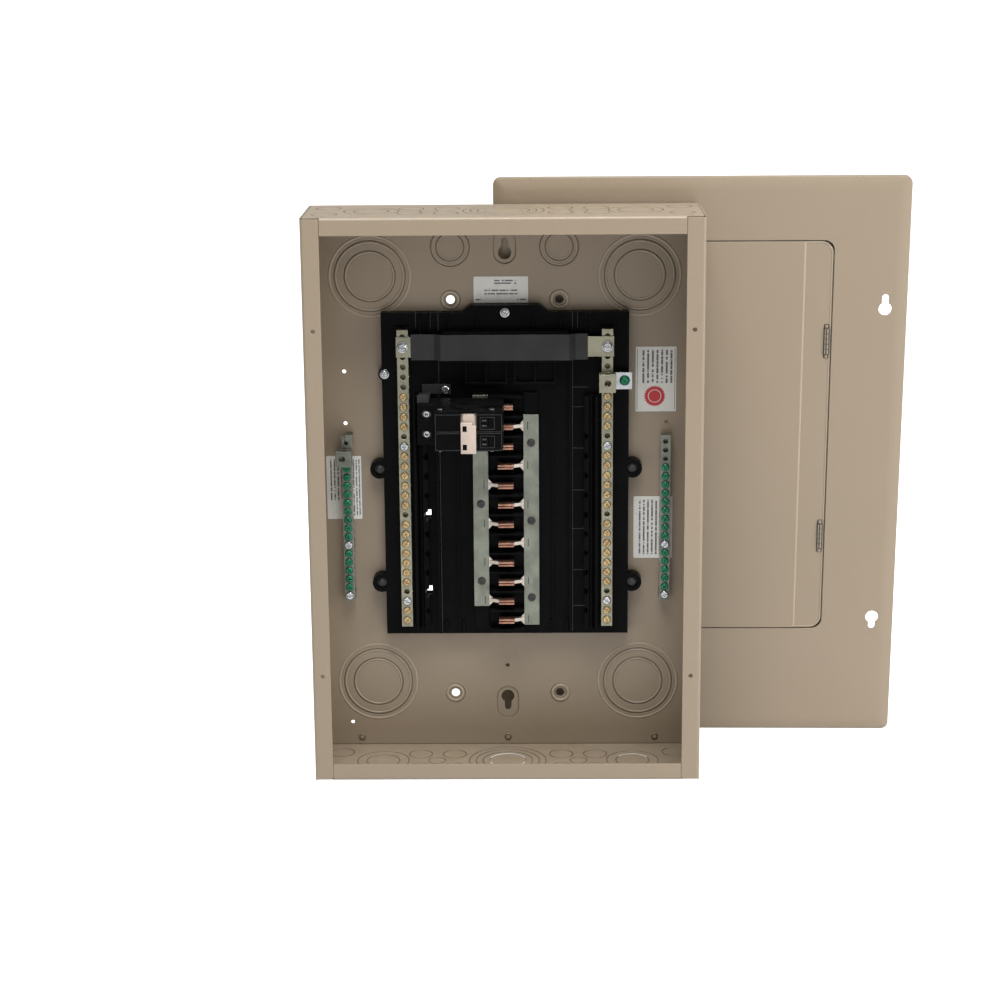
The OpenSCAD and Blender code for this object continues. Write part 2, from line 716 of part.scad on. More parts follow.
module pan_ribs(face) {
    top = pan_z + pan_h;
    bar_back = neutral_front - neutral_t;
    // ledges under the neutral bars
    for (s = [-1, 1]) block(s*neutral_x-7, s*neutral_x+7, y_in-bar_back, face+eps, pan_z+4,
        neutral_mid+neutral_l/2+2);
    // ledges under the bus bars
    for (s = [-1, 1]) block(s*bus_x-bus_w/2+1, s*bus_x+bus_w/2-1, y_in-bus_front+bus_t, face+eps,
        pan_z+6, stab_z[0]+12);
    // long ribs either side of the breaker space
    block(-66, -64, face-5, face+eps, pan_z+2, stab_z[0]+pole_pitch/2);
    block(60, 62, face-5, face+eps, pan_z+2, top-42);
    for (x = [-46, 44]) block(x-0.8, x+0.8, face-2.5, face+eps, pan_z+2, stab_z[1]);
    // raised band that carries the strap
    band = neutral_front + strap_rise - 1.5;
    block(-strap_mid+2, strap_mid-2, y_in-band, face+eps, strap_z-strap_h/2-2, strap_z+strap_h/2+2);
    for (x = [-80, -71, 71, 80]) block(x-0.8, x+0.8, face-3, face+eps, top-40, top-2);
    for (x = [-52, -26, 26, 52]) block(x-0.8, x+0.8, face-3, face+eps, strap_z, top-4);
    // two framed windows under the strap
    for (x = [-18, 28]) difference() {
        block(x-20, x+20, face-7, face+eps, top-67, top-43);
        block(x-18, x-1, face-8, face-1.5, top-65, top-46);
        block(x+1, x+18, face-8, face-1.5, top-65, top-46);
    }
    // pocket walls at the lower edge
    for (x = [-58, -42, 42, 58]) block(x-0.8, x+0.8, face-4, face+eps, pan_z+2, pan_z+14);
}

module pan_screws() {
    face = y_in - pan_face;
    color(zinc_c) {
        screw(0, pan_z+pan_h, face, 4.4, 2.2, pan_hole_r-0.1, pan_face);
        screw(tab_x, tab_z, face, 3.6, 2.2, pan_hole_r-0.1, pan_face);
        for (x = [-1, 1], z = ear_z)
            screw(x*(pan_w/2+4), pan_z+z, face+2.5, 4, 2, pan_hole_r-0.1, pan_face-2.5);
    }
}

// Comb of walls between the stabs
module stab_guide() {
    low = stab_z[stab_count-1] - pole_pitch/2;
    high = stab_z[0] + pole_pitch/2;
    half = bus_x - bus_w/2 - 0.8;
    color(black_c) {
        block(-half, half, y_in-pan_face-2, y_in-pan_face, low, high);
        for (k = [0:stab_count]) block(-half, half, y_in-breaker_base+1, y_in-pan_face-2+eps,
            low+k*pole_pitch-0.8, low+k*pole_pitch+0.8);
    }
}

// ---- bus -------------------------------------------------------------------

module bus_bar(side, low, high) {
    color(tin_c) difference() {
        block(side*bus_x-bus_w/2, side*bus_x+bus_w/2, y_in-bus_front, y_in-bus_front+bus_t, low, high);
        for (p = bus_screw_places) if (p[0]*side > 0)
            rod_y(p[0], p[1], y_in-bus_front-over, y_in-pan_face, 2.1);
    }
}

module left_bus_bar() {
    bus_bar(-1, bus_low[0], bus_top[0]);
}

module right_bus_bar() {
    bus_bar(1, bus_low[1], bus_top[1]);
}

// Stab turned up from a bus bar's inner edge
module stab(side, z) {
    inner = bus_x - bus_w/2;
    neck = 7;
    y_bus = y_in - bus_front;
    block(-stab_w/2, stab_w/2, y_in-stab_tip, y_bus+bus_t, z-stab_t/2, z+stab_t/2);
    translate([0, 0, z]) linear_extrude(stab_t, center=true)
        polygon([[side*(stab_w/2-1), y_bus+bus_t], [side*inner, y_bus+bus_t],
            [side*inner, y_bus], [side*(stab_w/2-1), y_bus-4]]);
    translate([0, y_bus+bus_t, 0]) rotate([90, 0, 0]) linear_extrude(bus_t)
        polygon([[side*inner, z-neck], [side*inner, z+neck], [side*(inner-3.5), z+1.8],
            [side*(inner-3.5), z-1.8]]);
}

module left_stabs() {
    color([0.74, 0.55, 0.42]) for (k = [0:2:stab_count-1]) stab(-1, stab_z[k]);
}

module right_stabs() {
    color([0.74, 0.55, 0.42]) for (k = [1:2:stab_count-1]) stab(1, stab_z[k]);
}

module bus_screws() {
    color([0.12, 0.12, 0.12]) for (p = bus_screw_places)
        screw(p[0], p[1], y_in-bus_front, bus_screw_r, 1.8, 1.8, bus_front-pan_face-0.2);
}

// ---- neutral ---------------------------------------------------------------

module neutral_bar(side) {
    front = y_in - neutral_front;
    color(tin_c) difference() {
        block(side*neutral_x-neutral_w/2, side*neutral_x+neutral_w/2, front, front+neutral_t,
            neutral_mid-neutral_l/2, neutral_mid+neutral_l/2);
        for (z = neutral_z) {
            rod_y(side*neutral_x, z, front-over, front+neutral_t-1, terminal_r);
            rod_x(side*neutral_x, front+neutral_t/2+0.6, z, neutral_w+2*over, wire_r);
        }
        for (i = neutral_silver)
            rod_y(side*neutral_x, neutral_z[i], front-over, front+neutral_t+over, terminal_r);
    }
}

module left_neutral_bar() {
    neutral_bar(-1);
}

module right_neutral_bar() {
    neutral_bar(1);
}

module neutral_screws(side) {
    color(brass_c) for (i = neutral_brass)
        screw(side*neutral_x, neutral_z[i], y_in-neutral_front, 3.5, 1.6, terminal_r-0.05, 3);
}

module left_neutral_screws() {
    neutral_screws(-1);
}

module right_neutral_screws() {
    neutral_screws(1);
}

module neutral_mount_screws() {
    color(zinc_c) for (s = [-1, 1], i = neutral_silver)
        screw(s*neutral_x, neutral_z[i], y_in-neutral_front, 3.9, 2, terminal_r-0.1,
            neutral_front-2);
}

// Flat metal strap between the neutral bars, humped over the raised band
module strap_outline(t, end_l) {
    y0 = y_in - neutral_front;
    polygon([[-end_l, y0], [-strap_mid-6, y0], [-strap_mid, y0-strap_rise], [strap_mid, y0-strap_rise],
        [strap_mid+6, y0], [end_l, y0], [end_l, y0-t], [strap_mid+6-t/2, y0-t],
        [strap_mid-t/2, y0-strap_rise-t], [-strap_mid+t/2, y0-strap_rise-t],
        [-strap_mid-6+t/2, y0-t], [-end_l, y0-t]]);
}

module neutral_strap() {
    color(tin_c) difference() {
        translate([0, 0, strap_z-strap_w/2]) linear_extrude(strap_w) strap_outline(strap_t, neutral_x+6);
        for (s = [-1, 1]) rod_y(s*neutral_x, strap_z, y_in-neutral_front-10, y_in, terminal_r);
    }
}

module strap_sleeve() {
    sleeve_l = neutral_x - 8;
    color([0.2, 0.2, 0.21]) difference() {
        translate([0, (sleeve_t-strap_t)/2, strap_z-strap_h/2]) linear_extrude(strap_h)
            strap_outline(sleeve_t, sleeve_l);
        translate([0, 0, strap_z-strap_w/2-0.2]) linear_extrude(strap_w+0.4)
            strap_outline(strap_t, neutral_x+6);
        // right end is cut short to bare the strap
        block(neutral_x-18.6, neutral_x+over, y_in-neutral_front-10, y_in, strap_z-20, strap_z+20);
    }
}

module strap_screws() {
    color(zinc_c) for (s = [-1, 1])
        screw(s*neutral_x, strap_z, strap_y, 5.2, 3, terminal_r-0.1, strap_t+5.5, 1.2);
}

module neutral_lug() {
    front = y_in - neutral_front;
    color(tin_c) difference() {
        block(neutral_x-8, neutral_x+7.6, front-12, front, lug_z-8.6, lug_z+8.6);
        rod_y(neutral_x, lug_z, front-12-over, front+over, 3.2);
        translate([neutral_x, front-6, lug_z]) cylinder(h=20, r=4, center=true);
    }
}

// Tab from the neutral lug, fixed by a long screw into the back wall
module bonding_strap() {
    front = y_in - neutral_front;
    color(zinc_c) difference() {
        block(neutral_x+7.6, bond_x+7, front-1.4, front, lug_z-7.4, lug_z+8.6);
        rod_y(bond_x, lug_z+1, front-over-2, front+over, bond_hole_r);
    }
}

module bonding_screw() {
    color([0.13, 0.5, 0.32])
        screw(bond_x, lug_z+1, y_in-neutral_front-1.4, 4.8, 3, bond_hole_r-0.1, neutral_front+2.4, 1.2);
}

// ---- ground ----------------------------------------------------------------

module ground_bar(side) {
    front = y_in - ground_front;
    x = side*ground_x;
    color(tin_c) difference() {
        union() {
            block(x-ground_w/2, x+ground_w/2, front, front+ground_t, ground_mid-ground_l/2,
                ground_mid+ground_l/2);
            // feet that stand the bar off the wall
            for (i = ground_silver) block(x-ground_w/2, x+ground_w/2, front+ground_t-eps,
                y_in-label_gap, ground_z[i]-5, ground_z[i]+5);
        }
        for (i = [0:ground_count-1]) {
            rod_y(x, ground_z[i], front-over, front+ground_t-1, ground_hole_r);
            rod_x(x, front+ground_t/2+0.6, ground_z[i], ground_w+2*over, ground_hole_r+0.2);
        }
        for (i = ground_silver) rod_y(x, ground_z[i], front-over, y_in+over, ground_hole_r);
    }
}

module left_ground_bar() {
    ground_bar(-1);
}

module right_ground_bar() {
    ground_bar(1);
}

module ground_screws(side) {
    color([0.13, 0.5, 0.32]) for (i = ground_green)
        screw(side*ground_x, ground_z[i], y_in-ground_front, 3.5, 2.2, ground_hole_r-0.05, 3, 1);
}

module left_ground_screws() {
    ground_screws(-1);
}

module right_ground_screws() {
    ground_screws(1);
}

module ground_bar_screws() {
    color(zinc_c) for (s = [-1, 1], i = ground_silver)
        screw(s*ground_x, ground_z[i], y_in-ground_front, 3.9, 2.2, ground_hole_r-0.1,
            ground_front-label_gap);
}

// Larger lug clamped on the left ground bar's upper end
module ground_lug() {
    front = y_in - ground_front;
    x = -ground_x;
    z = ground_z[1] - 5;
    color(tin_c) difference() {
        union() {
            block(x-9.6, x+5.6, front-ground_lug_d, front, z-7.5, z+7.5);
            block(x-1, x+5.6, front-1.4, front, z+7.5-eps, z+21);
            block(x-1, x+5.6, front-1.4, y_in-label_gap, z+19.6, z+21);
        }
        rod_y(x-3.6, z, front-ground_lug_d-over, front+over, 3);
        translate([x-3.6, front-ground_lug_d/2-0.2, z]) cylinder(h=20, r=ground_wire_r, center=true);
        for (i = [0:2]) rod_y(x, ground_z[i], front-2, front+over, 2);
    }
}

// ---- main breaker ----------------------------------------------------------

// Side outline of one pole in X and Y
module case_outline(inset=0) {
    difference() {
        union() {
            translate([case_x0+inset, case_y0+inset])
                square([face_w-2*inset, case_y1-case_y0-2*inset]);
            translate([shelf_x0+inset, shelf_y+inset])
                square([shelf_l+case_wall, case_y1-shelf_y-2*inset]);
        }
        // sloped shoulder above the terminal shelf
        if (inset == 0) polygon([[case_x0-over, case_y0-over], [case_x0+1.5, case_y0-over],
            [case_x0-over, case_y0+4]]);
    }
}

module foot_outline() {
    translate([-foot_x, foot_y]) circle(foot_r);
    translate([-foot_x-1.2, case_y1-1]) square([2.4, foot_y-case_y1+1]);
}

// One moulded pole; z is its middle
module breaker_pole(z) {
    half = pole_h/2;
    color(black_c) difference() {
        union() {
            translate([0, 0, z]) linear_extrude(pole_h, center=true) {
                case_outline();
                foot_outline();
            }
            // nose that straddles the stab
            block(nose_x, case_x1, case_y1-case_wall-over, y_in-nose_front, z-nose_w/2, z+nose_w/2);
        }
        // hollow for the mechanism
        translate([0, 0, z]) linear_extrude(pole_h-2*case_wall, center=true) difference() {
            case_outline(case_wall);
            translate([case_x0-case_wall, shelf_y]) square([2*case_wall, case_y1-shelf_y]);
        }
        // terminal mouth and screw well
        block(shelf_x0-over, shelf_x0+case_wall+over, shelf_y+4, case_y1-4, z-half+3, z+half-3);
        rod_y(shelf_x0+8.5, z, shelf_y-over, shelf_y+case_wall+over, 4.4);
        // handle slot
        rod_cut_handle(z, half);
        // slot for the stab and the jaws
        block(nose_x-1, case_x1+over, y_in-stab_tip-6, y_in-nose_front+over, z-3.4, z+3.4);
        // sight window beside the handle
        block(handle_x+13, handle_x+16, case_y0-over, case_y0+case_wall-0.5, z-4.5, z+4.5);
        block(handle_x+17.5, handle_x+19, case_y0-over, case_y0+case_wall-0.5, z-5.5, z+5.5);
        for (x = rivet_x) translate([x, rivet_y, z]) cylinder(h=pole_pitch+over, r=1.7, center=true);
        translate([handle_x, handle_y, z]) cylinder(h=pole_pitch+over, r=pivot_r+pin_play, center=true);
    }
}

module rod_cut_handle(z, half) {
    intersection() {
        translate([handle_x, handle_y, z])
            cylinder(h=pole_h-3.2, r=handle_r+0.5, center=true);
        block(handle_x-20, handle_x+20, case_y0-over, handle_y+20, z-half, z+half);
    }
    block(handle_x-handle_w/2-0.8, handle_x+handle_w/2+0.8, case_y0-over, case_y0+3, z-half+1.6,
        z+half-1.6);
}

module breaker_pole_a() {
    breaker_pole(breaker_z[0]);
}

module breaker_pole_b() {
    breaker_pole(breaker_z[1]);
}

module breaker_rivets() {
    l = 2*pole_pitch;
    color(zinc_c) for (x = rivet_x) translate([x, rivet_y, pole_line]) {
        cylinder(h=l, r=1.6, center=true);
        for (s = [-1, 1]) translate([0, 0, s*(l/2+0.4)]) cylinder(h=0.8, r=2.8, center=true);
    }
}

// Tie handle: one bar across both poles, on a common pivot
module breaker_handle() {
    inner = pole_h - 4.6;
    color([0.86, 0.78, 0.68]) difference() {
        union() {
            for (z = breaker_z) translate([handle_x, handle_y, z])
                cylinder(h=inner, r=handle_r, center=true);
            translate([handle_x, handle_y, pole_line])
                cylinder(h=2*pole_pitch-1, r=pivot_r, center=true);
            handle_bar();
        }
        for (z = breaker_z) block(handle_x-5, handle_x-1.5, case_y0-9, case_y0-6, z-3.4, z+3.4);
    }
}

module handle_bar() {
    y0 = case_y0 - 8.6;
    w = handle_w/2;
    for (z = breaker_z) block(handle_x-w+2.2, handle_x+w-2.2, y0+2, handle_y-3, z-pole_h/2+2.6,
        z+pole_h/2-2.6);
    translate([0, 0, pole_line-handle_l/2]) linear_extrude(handle_l)
        polygon([[handle_x-w, y0+1.4], [handle_x-w+1.4, y0], [handle_x+w-1.4, y0],
            [handle_x+w, y0+1.4], [handle_x+w-1, case_y0-3.2], [handle_x-w+1, case_y0-3.2]]);
}

// Box lug inside each terminal mouth
module line_lugs() {
    color(tin_c) for (z = breaker_z) difference() {
        block(shelf_x0+3, shelf_x0+15, shelf_y+6, case_y1-5, z-6, z+6);
        rod_x(shelf_x0+9, (shelf_y+case_y1)/2+1.5, z, 14, 4.2);
        rod_y(shelf_x0+8.5, z, shelf_y, shelf_y+12, 2.9);
    }
}

module line_lug_screws() {
    color(zinc_c) for (z = breaker_z) difference() {
        rod_y(shelf_x0+8.5, z, shelf_y+2.2, shelf_y+11, 2.8);
        translate([shelf_x0+8.5, shelf_y+4, z]) rotate([90, 0, 0])
            cylinder(h=4.4, r=1.9, center=true, $fn=6);
    }
}

// Spring jaws that grip the stabs
module breaker_jaws() {
    y0 = y_in - stab_tip - 5;
    gap = stab_t/2 + jaw_play;
    color([0.72, 0.45, 0.3]) for (z = breaker_z) {
        for (s = [-1, 1]) block(-stab_w/2-1, case_x1-0.6, y0, y_in-nose_front-1, z+s*(gap+0.5)-0.5,
            z+s*(gap+0.5)+0.5);
        block(-stab_w/2-1.6, -stab_w/2-1+eps, y0, case_y1, z-gap-1, z+gap+1);
        block(-stab_w/2-1.6, case_x1-0.6, y0-1, y0+eps, z-gap-1, z+gap+1);
    }
}

// Contact arms that swing with the handle
module contact_arms() {
    color([0.72, 0.45, 0.3]) for (z = breaker_z) {
        translate([0, 0, z]) linear_extrude(2.4, center=true) difference() {
            union() {
                translate([arm_x, arm_y]) circle(3.4);
                polygon([[arm_x-2, arm_y], [arm_x+2, arm_y], [arm_x+13.4, arm_y+11],
                    [arm_x+11.4, arm_y+13.4]]);
            }
            translate([arm_x, arm_y]) circle(1.3);
        }
    }
}

module fixed_contacts() {
    color([0.75, 0.72, 0.66]) for (z = breaker_z) {
        block(arm_x+12, arm_x+20.6, arm_y+15, arm_y+16.6, z-2.4, z+2.4);
        translate([arm_x, arm_y, z]) cylinder(h=pole_h-2*case_wall, r=1.2, center=true);
    }
}

// Stacks of arc plates beside the contacts
module arc_chutes() {
    color(zinc_c) for (z = breaker_z, k = [0:4])
        block(arm_x+14.5, arm_x+24, arm_y-8+k*3, arm_y-7+k*3, z-6, z+6);
}

// Bimetal strips of the thermal trip
module trip_strips() {
    color([0.62, 0.58, 0.5]) for (z = breaker_z) {
        block(case_x0+12, case_x0+13.2, arm_y-6, case_y1-3, z-3, z+3);
        block(case_x0+13.2-eps, case_x0+17, case_y1-4.4, case_y1-3, z-3, z+3);
    }
}

// Clip that keeps the main breaker on its stabs
module hold_down_clip() {
    top = breaker_z[0] + pole_pitch/2 + 1;
    y_tab = y_in - pan_face - 40;
    color([0.36, 0.36, 0.37]) difference() {
        union() {
            block(clip_screw[0]-22, clip_screw[0]+5, y_in-pan_face-1.2, y_in-pan_face, top,
                top+9.4);
            block(clip_screw[0]-24.8, clip_screw[0]-14, y_tab, y_in-pan_face, top, top+1.2);
            block(clip_screw[0]-24.8, clip_screw[0]-14, y_tab-1.2, y_tab, top-0.8, top+7);
        }
        rod_y(clip_screw[0], clip_screw[1], y_in-pan_face-over-2, y_in-pan_face+over, 2.3);
    }
}

module hold_down_screw() {
    color(zinc_c) screw(clip_screw[0], clip_screw[1], y_in-pan_face-1.2, 3.8, 2.4,
        pan_hole_r-0.2, 12);
}

// ---- labels ----------------------------------------------------------------

module label(x, z, w, h) {
    block(x-w/2, x+w/2, y_in-label_gap+0.05, y_in-0.02, z-h/2, z+h/2);
}

module rating_label() {
    color("white") label(-3.7, box_h-80, 51.4, 25);
}

module warning_label() {
    color("white") label(142.6, pan_z+247.6, 38.6, 62.6);
}

module left_wiring_label() {
    color("white") label(-155.6, pan_z+143.2, 33.6, 62.4);
}

module right_wiring_label() {
    color("white") label(140.7, pan_z+102.6, 37.4, 61.6);
}

// ---- cover -----------------------------------------------------------------

module cover_outline(inset) {
    translate([0, cover_h/2]) round_rect(cover_w-2*inset, cover_h-2*inset, cover_r-inset);
}

module door_outline(grow) {
    translate([door_mid, door_z0+door_l/2])
        round_rect(door_w+2*grow, door_l+2*grow, door_r+grow);
}

// Opening that the door lies in
module opening_outline(grow) {
    translate([door_mid, door_z0+door_l/2]) round_rect(door_w+2*door_gap+2*grow,
        door_l+2*door_gap+2*grow, door_r-corner_ease+grow);
}

// Keyholes over the screw holes in the enclosure's side flanges
module cover_keyholes() {
    x = box_w/2 - flange_hole_in + cover_key_out;
    for (s = [-1, 1]) {
        translate([s*x, 0, flange_hole_z[1]+lap_end-cover_key_drop]) plate_y(-over, cover_t+over)
            keyhole(cover_key_r, 2*cover_slot_r, cover_slot_up, 1);
        translate([s*x, 0, flange_hole_z[0]+lap_end+cover_key_rise]) plate_y(-over, cover_t+over)
            keyhole(cover_key_r, 2*cover_slot_r, cover_slot_down, -1);
    }
}

module trim_plate() {
    color(tan_c) on_cover() difference() {
        union() {
            plate_y(0, cover_t) difference() {
                cover_outline(0);
                opening_outline(0);
            }
            plate_y(0, cover_edge) difference() {
                cover_outline(0);
                cover_outline(cover_t);
            }
            // rim that lines the recess behind the door
            plate_y(0, recess_d) difference() {
                opening_outline(cover_t);
                opening_outline(0);
            }
            for (z = hinge_z, s = [-1, 1]) hinge_ear(door_z0+z, s);
        }
        block(door_x1-door_w-4, door_x1-door_w, 2, 4.4, latch_z-8.4, latch_z+8.4);
        cover_keyholes();
        for (z = hinge_z, s = [-1, 1]) translate([hinge_x, hinge_y, door_z0+z+s*(hinge_ears+1.5)])
            cylinder(h=8, r=pin_r+0.01, center=true);
    }
}

module hinge_ear(z, s) {
    z0 = s > 0 ? hinge_ears : -hinge_ears-ear_h;
    translate([hinge_x, hinge_y, z+z0]) cylinder(h=ear_h, r=knuckle_r);
    block(hinge_x, door_x1+door_gap+eps, hinge_y, hinge_y+knuckle_r, z+z0, z+z0+ear_h);
}

// Plate behind the door that covers the live parts
module deadfront() {
    color(tan_c) on_cover() difference() {
        union() {
            plate_y(recess_d, recess_d+cover_t) opening_outline(cover_t);
            // ribs that stiffen the plate on its back
            for (x = [-1, 1]) block(door_mid+x*96-0.6, door_mid+x*96+0.6, recess_d+cover_t-eps,
                recess_d+10, door_z0+24, door_z0+door_l-24);
        }
        for (p = fillers) block(p[0]-slot_w/2, p[0]+slot_w/2, recess_d-over, recess_d+cover_t+over,
            p[1]-slot_h/2, p[1]+slot_h/2);
        block(handle_x-slot_w/2, handle_x+slot_w/2, recess_d-over, recess_d+cover_t+over,
            stab_z[1]+dead_rise-slot_h/2, stab_z[0]+dead_rise+slot_h/2);
        for (p = dead_screws) rod_y(p[0], p[1], recess_d-over, recess_d+cover_t+over, 2);
    }
}

module deadfront_screws() {
    color(zinc_c) on_cover() for (p = dead_screws) screw(p[0], p[1], recess_d, 3.6, 2, 1.9, 6);
}

// Twist-out plates that close the unused breaker slots
module filler_plates() {
    color(tan_c) on_cover() for (p = fillers) {
        block(p[0]-slot_w/2+0.3, p[0]+slot_w/2-0.3, recess_d+0.1, recess_d+cover_t,
            p[1]-slot_h/2+0.3, p[1]+slot_h/2-0.3);
        block(p[0]-6, p[0]+6, recess_d-0.6, recess_d+0.2, p[1]-3, p[1]+3);
    }
}

// Door's outline, notched where the hinges show
module door_field() {
    difference() {
        door_outline(0);
        for (z = hinge_z) translate([hinge_x-knuckle_r-0.6, door_z0+z-hinge_ears-ear_h-0.4])
            square([20, 2*(hinge_ears+ear_h+0.4)]);
    }
}

// Door: raised field, a lower strip beside the hinges, and turned edges
module door() {
    x1 = door_x1;
    crease = x1 - crease_in;
    color(tan_c) on_cover() difference() {
        union() {
            plate_y(door_y, door_y+cover_t) door_field();
            plate_y(door_y-1, door_y+cover_t) intersection() {
                door_field();
                translate([-cover_w, 0]) square([cover_w+crease-1, cover_h]);
            }
            // turned edge on three sides
            plate_y(door_y, 6) difference() {
                door_outline(0);
                door_outline(-cover_t);
                translate([x1-door_r-1, 0]) square([40, cover_h]);
            }
            translate([crease-1, door_y+eps, door_z0]) linear_extrude(door_l)
                polygon([[0, 0], [1, 0], [0, -1]]);
            for (z = hinge_z) {
                translate([hinge_x, hinge_y, door_z0+z])
                    cylinder(h=knuckle_l, r=knuckle_r, center=true);
                block(hinge_x-8, hinge_x, door_y+cover_t-eps, hinge_y+knuckle_r, door_z0+z-knuckle_l/2,
                    door_z0+z+knuckle_l/2);
            }
        }
        for (z = hinge_z) {
            translate([hinge_x, hinge_y, door_z0+z])
                cylinder(h=knuckle_l+2*over, r=pin_r+pin_play, center=true);
        }
        // openings for the latch
        block(latch_x-7, latch_x+7, -2, 4, latch_z-13, latch_z+13);
        block(x1-door_w-over, x1-door_w+3, 2, 4.4, latch_z-8.4, latch_z+8.4);
    }
}

module hinge_pins() {
    color(zinc_c) on_cover() for (z = hinge_z) translate([hinge_x, hinge_y, door_z0+z])
        cylinder(h=2*(hinge_ears+ear_h), r=pin_r, center=true);
}

// Thumb slide that holds the door shut
module door_latch() {
    color([0.3, 0.28, 0.25]) on_cover() {
        block(latch_x-6.6+latch_throw, latch_x+6.6, -0.9, 2.4+eps, latch_z-12.5, latch_z+12.5);
        for (z = [-8:4:8]) block(latch_x, latch_x+5, -2.2, -0.9+eps, latch_z+z-0.8, latch_z+z+0.8);
        block(door_x1-door_w+2.6, latch_x+6.6, 2.4, 4, latch_z-8, latch_z+8);
    }
}

box_wrap();
top_end_wall();
bottom_end_wall();
base_pan();
pan_screws();
stab_guide();
left_bus_bar();
right_bus_bar();
left_stabs();
right_stabs();
bus_screws();
left_neutral_bar();
right_neutral_bar();
left_neutral_screws();
right_neutral_screws();
neutral_mount_screws();
neutral_strap();
strap_sleeve();
strap_screws();
neutral_lug();
bonding_strap();
bonding_screw();
left_ground_bar();
right_ground_bar();
left_ground_screws();
right_ground_screws();
ground_bar_screws();
ground_lug();
breaker_pole_a();
breaker_pole_b();
breaker_rivets();
breaker_handle();
line_lugs();
line_lug_screws();
breaker_jaws();
contact_arms();
fixed_contacts();
arc_chutes();
trip_strips();
hold_down_clip();
hold_down_screw();
rating_label();
warning_label();
left_wiring_label();
right_wiring_label();
trim_plate();
deadfront();
deadfront_screws();
filler_plates();
door();
hinge_pins();
door_latch();
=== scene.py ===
"""Looks of a residential load center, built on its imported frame.

The enclosure stands open, with its pan, bus, bars and main breaker, and the
cover leans behind it. All lengths are in metres unless a name says mm.
"""

import json
import logging
import math
from dataclasses import dataclass, field
from enum import Enum
from typing import Iterable, Optional, Sequence

import bmesh
import bpy
from mathutils import Matrix, Vector


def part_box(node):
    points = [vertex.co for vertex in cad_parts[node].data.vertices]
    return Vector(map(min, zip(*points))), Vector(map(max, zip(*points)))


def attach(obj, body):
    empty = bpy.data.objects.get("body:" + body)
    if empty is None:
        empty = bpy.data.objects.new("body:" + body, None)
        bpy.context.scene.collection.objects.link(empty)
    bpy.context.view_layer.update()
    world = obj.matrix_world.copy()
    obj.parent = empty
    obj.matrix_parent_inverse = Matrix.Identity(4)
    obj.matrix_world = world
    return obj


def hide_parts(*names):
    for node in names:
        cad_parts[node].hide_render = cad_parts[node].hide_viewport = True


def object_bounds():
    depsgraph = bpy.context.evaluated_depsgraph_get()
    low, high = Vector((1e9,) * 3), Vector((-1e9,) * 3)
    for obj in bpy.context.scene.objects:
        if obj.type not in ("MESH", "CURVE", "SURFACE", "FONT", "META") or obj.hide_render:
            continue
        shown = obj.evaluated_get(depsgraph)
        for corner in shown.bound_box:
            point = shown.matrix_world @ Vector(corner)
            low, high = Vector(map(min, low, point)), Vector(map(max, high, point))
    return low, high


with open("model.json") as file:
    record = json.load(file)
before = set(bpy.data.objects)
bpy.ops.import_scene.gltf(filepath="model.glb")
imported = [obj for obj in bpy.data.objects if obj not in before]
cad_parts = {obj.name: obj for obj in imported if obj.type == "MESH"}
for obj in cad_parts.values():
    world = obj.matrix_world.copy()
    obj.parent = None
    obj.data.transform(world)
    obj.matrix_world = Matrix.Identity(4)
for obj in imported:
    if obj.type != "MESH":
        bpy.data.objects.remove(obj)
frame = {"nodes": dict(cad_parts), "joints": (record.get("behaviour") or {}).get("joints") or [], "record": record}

MM = 0.001
CAD_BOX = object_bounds()
LOG = logging.getLogger("load_center")

Point = tuple[float, float]
Colour = tuple[float, float, float]


# ---- node trees --------------------------------------------------------------


class Graph:
    """A node tree with short calls to add nodes and join sockets."""

    def __init__(self, tree: bpy.types.NodeTree) -> None:
        """Wraps a tree.

        Args:
            tree: The shader or geometry node tree to fill.
        """
        self.tree = tree

    def add(self, kind: str, **settings: object) -> bpy.types.Node:
        """Adds a node.

        Args:
            kind: Blender's name of the node type.
            settings: Properties to set on the node.

        Returns:
            The new node.
        """
        node = self.tree.nodes.new(kind)
        for name, value in settings.items():
            setattr(node, name, value)
        return node

    def join(self, source: bpy.types.NodeSocket, target: bpy.types.NodeSocket) -> None:
        """Links an output to an input."""
        self.tree.links.new(source, target)

    def feed(self, target: bpy.types.NodeSocket, value: object) -> None:
        """Links a socket, or sets a plain value on it.

        Args:
            target: The input to feed.
            value: An output socket, or a number or tuple.
        """
        if isinstance(value, bpy.types.NodeSocket):
            self.join(value, target)
        else:
            target.default_value = value

    def math(self, operation: str, a: object, b: object = 0.0, clamp: bool = False) -> bpy.types.NodeSocket:
        """Adds a Math node.

        Args:
            operation: The operation's name.
            a: First input, a socket or a number.
            b: Second input, a socket or a number.
            clamp: Whether the result stays between 0 and 1.

        Returns:
            The result socket.
        """
        node = self.add("ShaderNodeMath", operation=operation, use_clamp=clamp)
        self.feed(node.inputs[0], a)
        self.feed(node.inputs[1], b)
        return node.outputs[0]

    def blend(self, share: object, a: object, b: object) -> bpy.types.NodeSocket:
        """Mixes two colours.

        Args:
            share: How much of b there is, a socket or a number.
            a: First colour.
            b: Second colour.

        Returns:
            The mixed colour socket.
        """
        node = self.add("ShaderNodeMix", data_type="RGBA")
        self.feed(node.inputs["Factor"], share)
        self.feed(node.inputs[6], rgba(a))
        self.feed(node.inputs[7], rgba(b))
        return node.outputs[2]

    def spread(self, value: object, low: float, high: float,
               out_low: float, out_high: float) -> bpy.types.NodeSocket:
        """Maps a range of values to another.

        Args:
            value: The socket to map.
            low: Start of the input range.
            high: End of the input range.
            out_low: Start of the output range.
            out_high: End of the output range.

        Returns:
            The mapped socket.
        """
        node = self.add("ShaderNodeMapRange")
        for place, item in enumerate((value, low, high, out_low, out_high)):
            self.feed(node.inputs[place], item)
        return node.outputs[0]


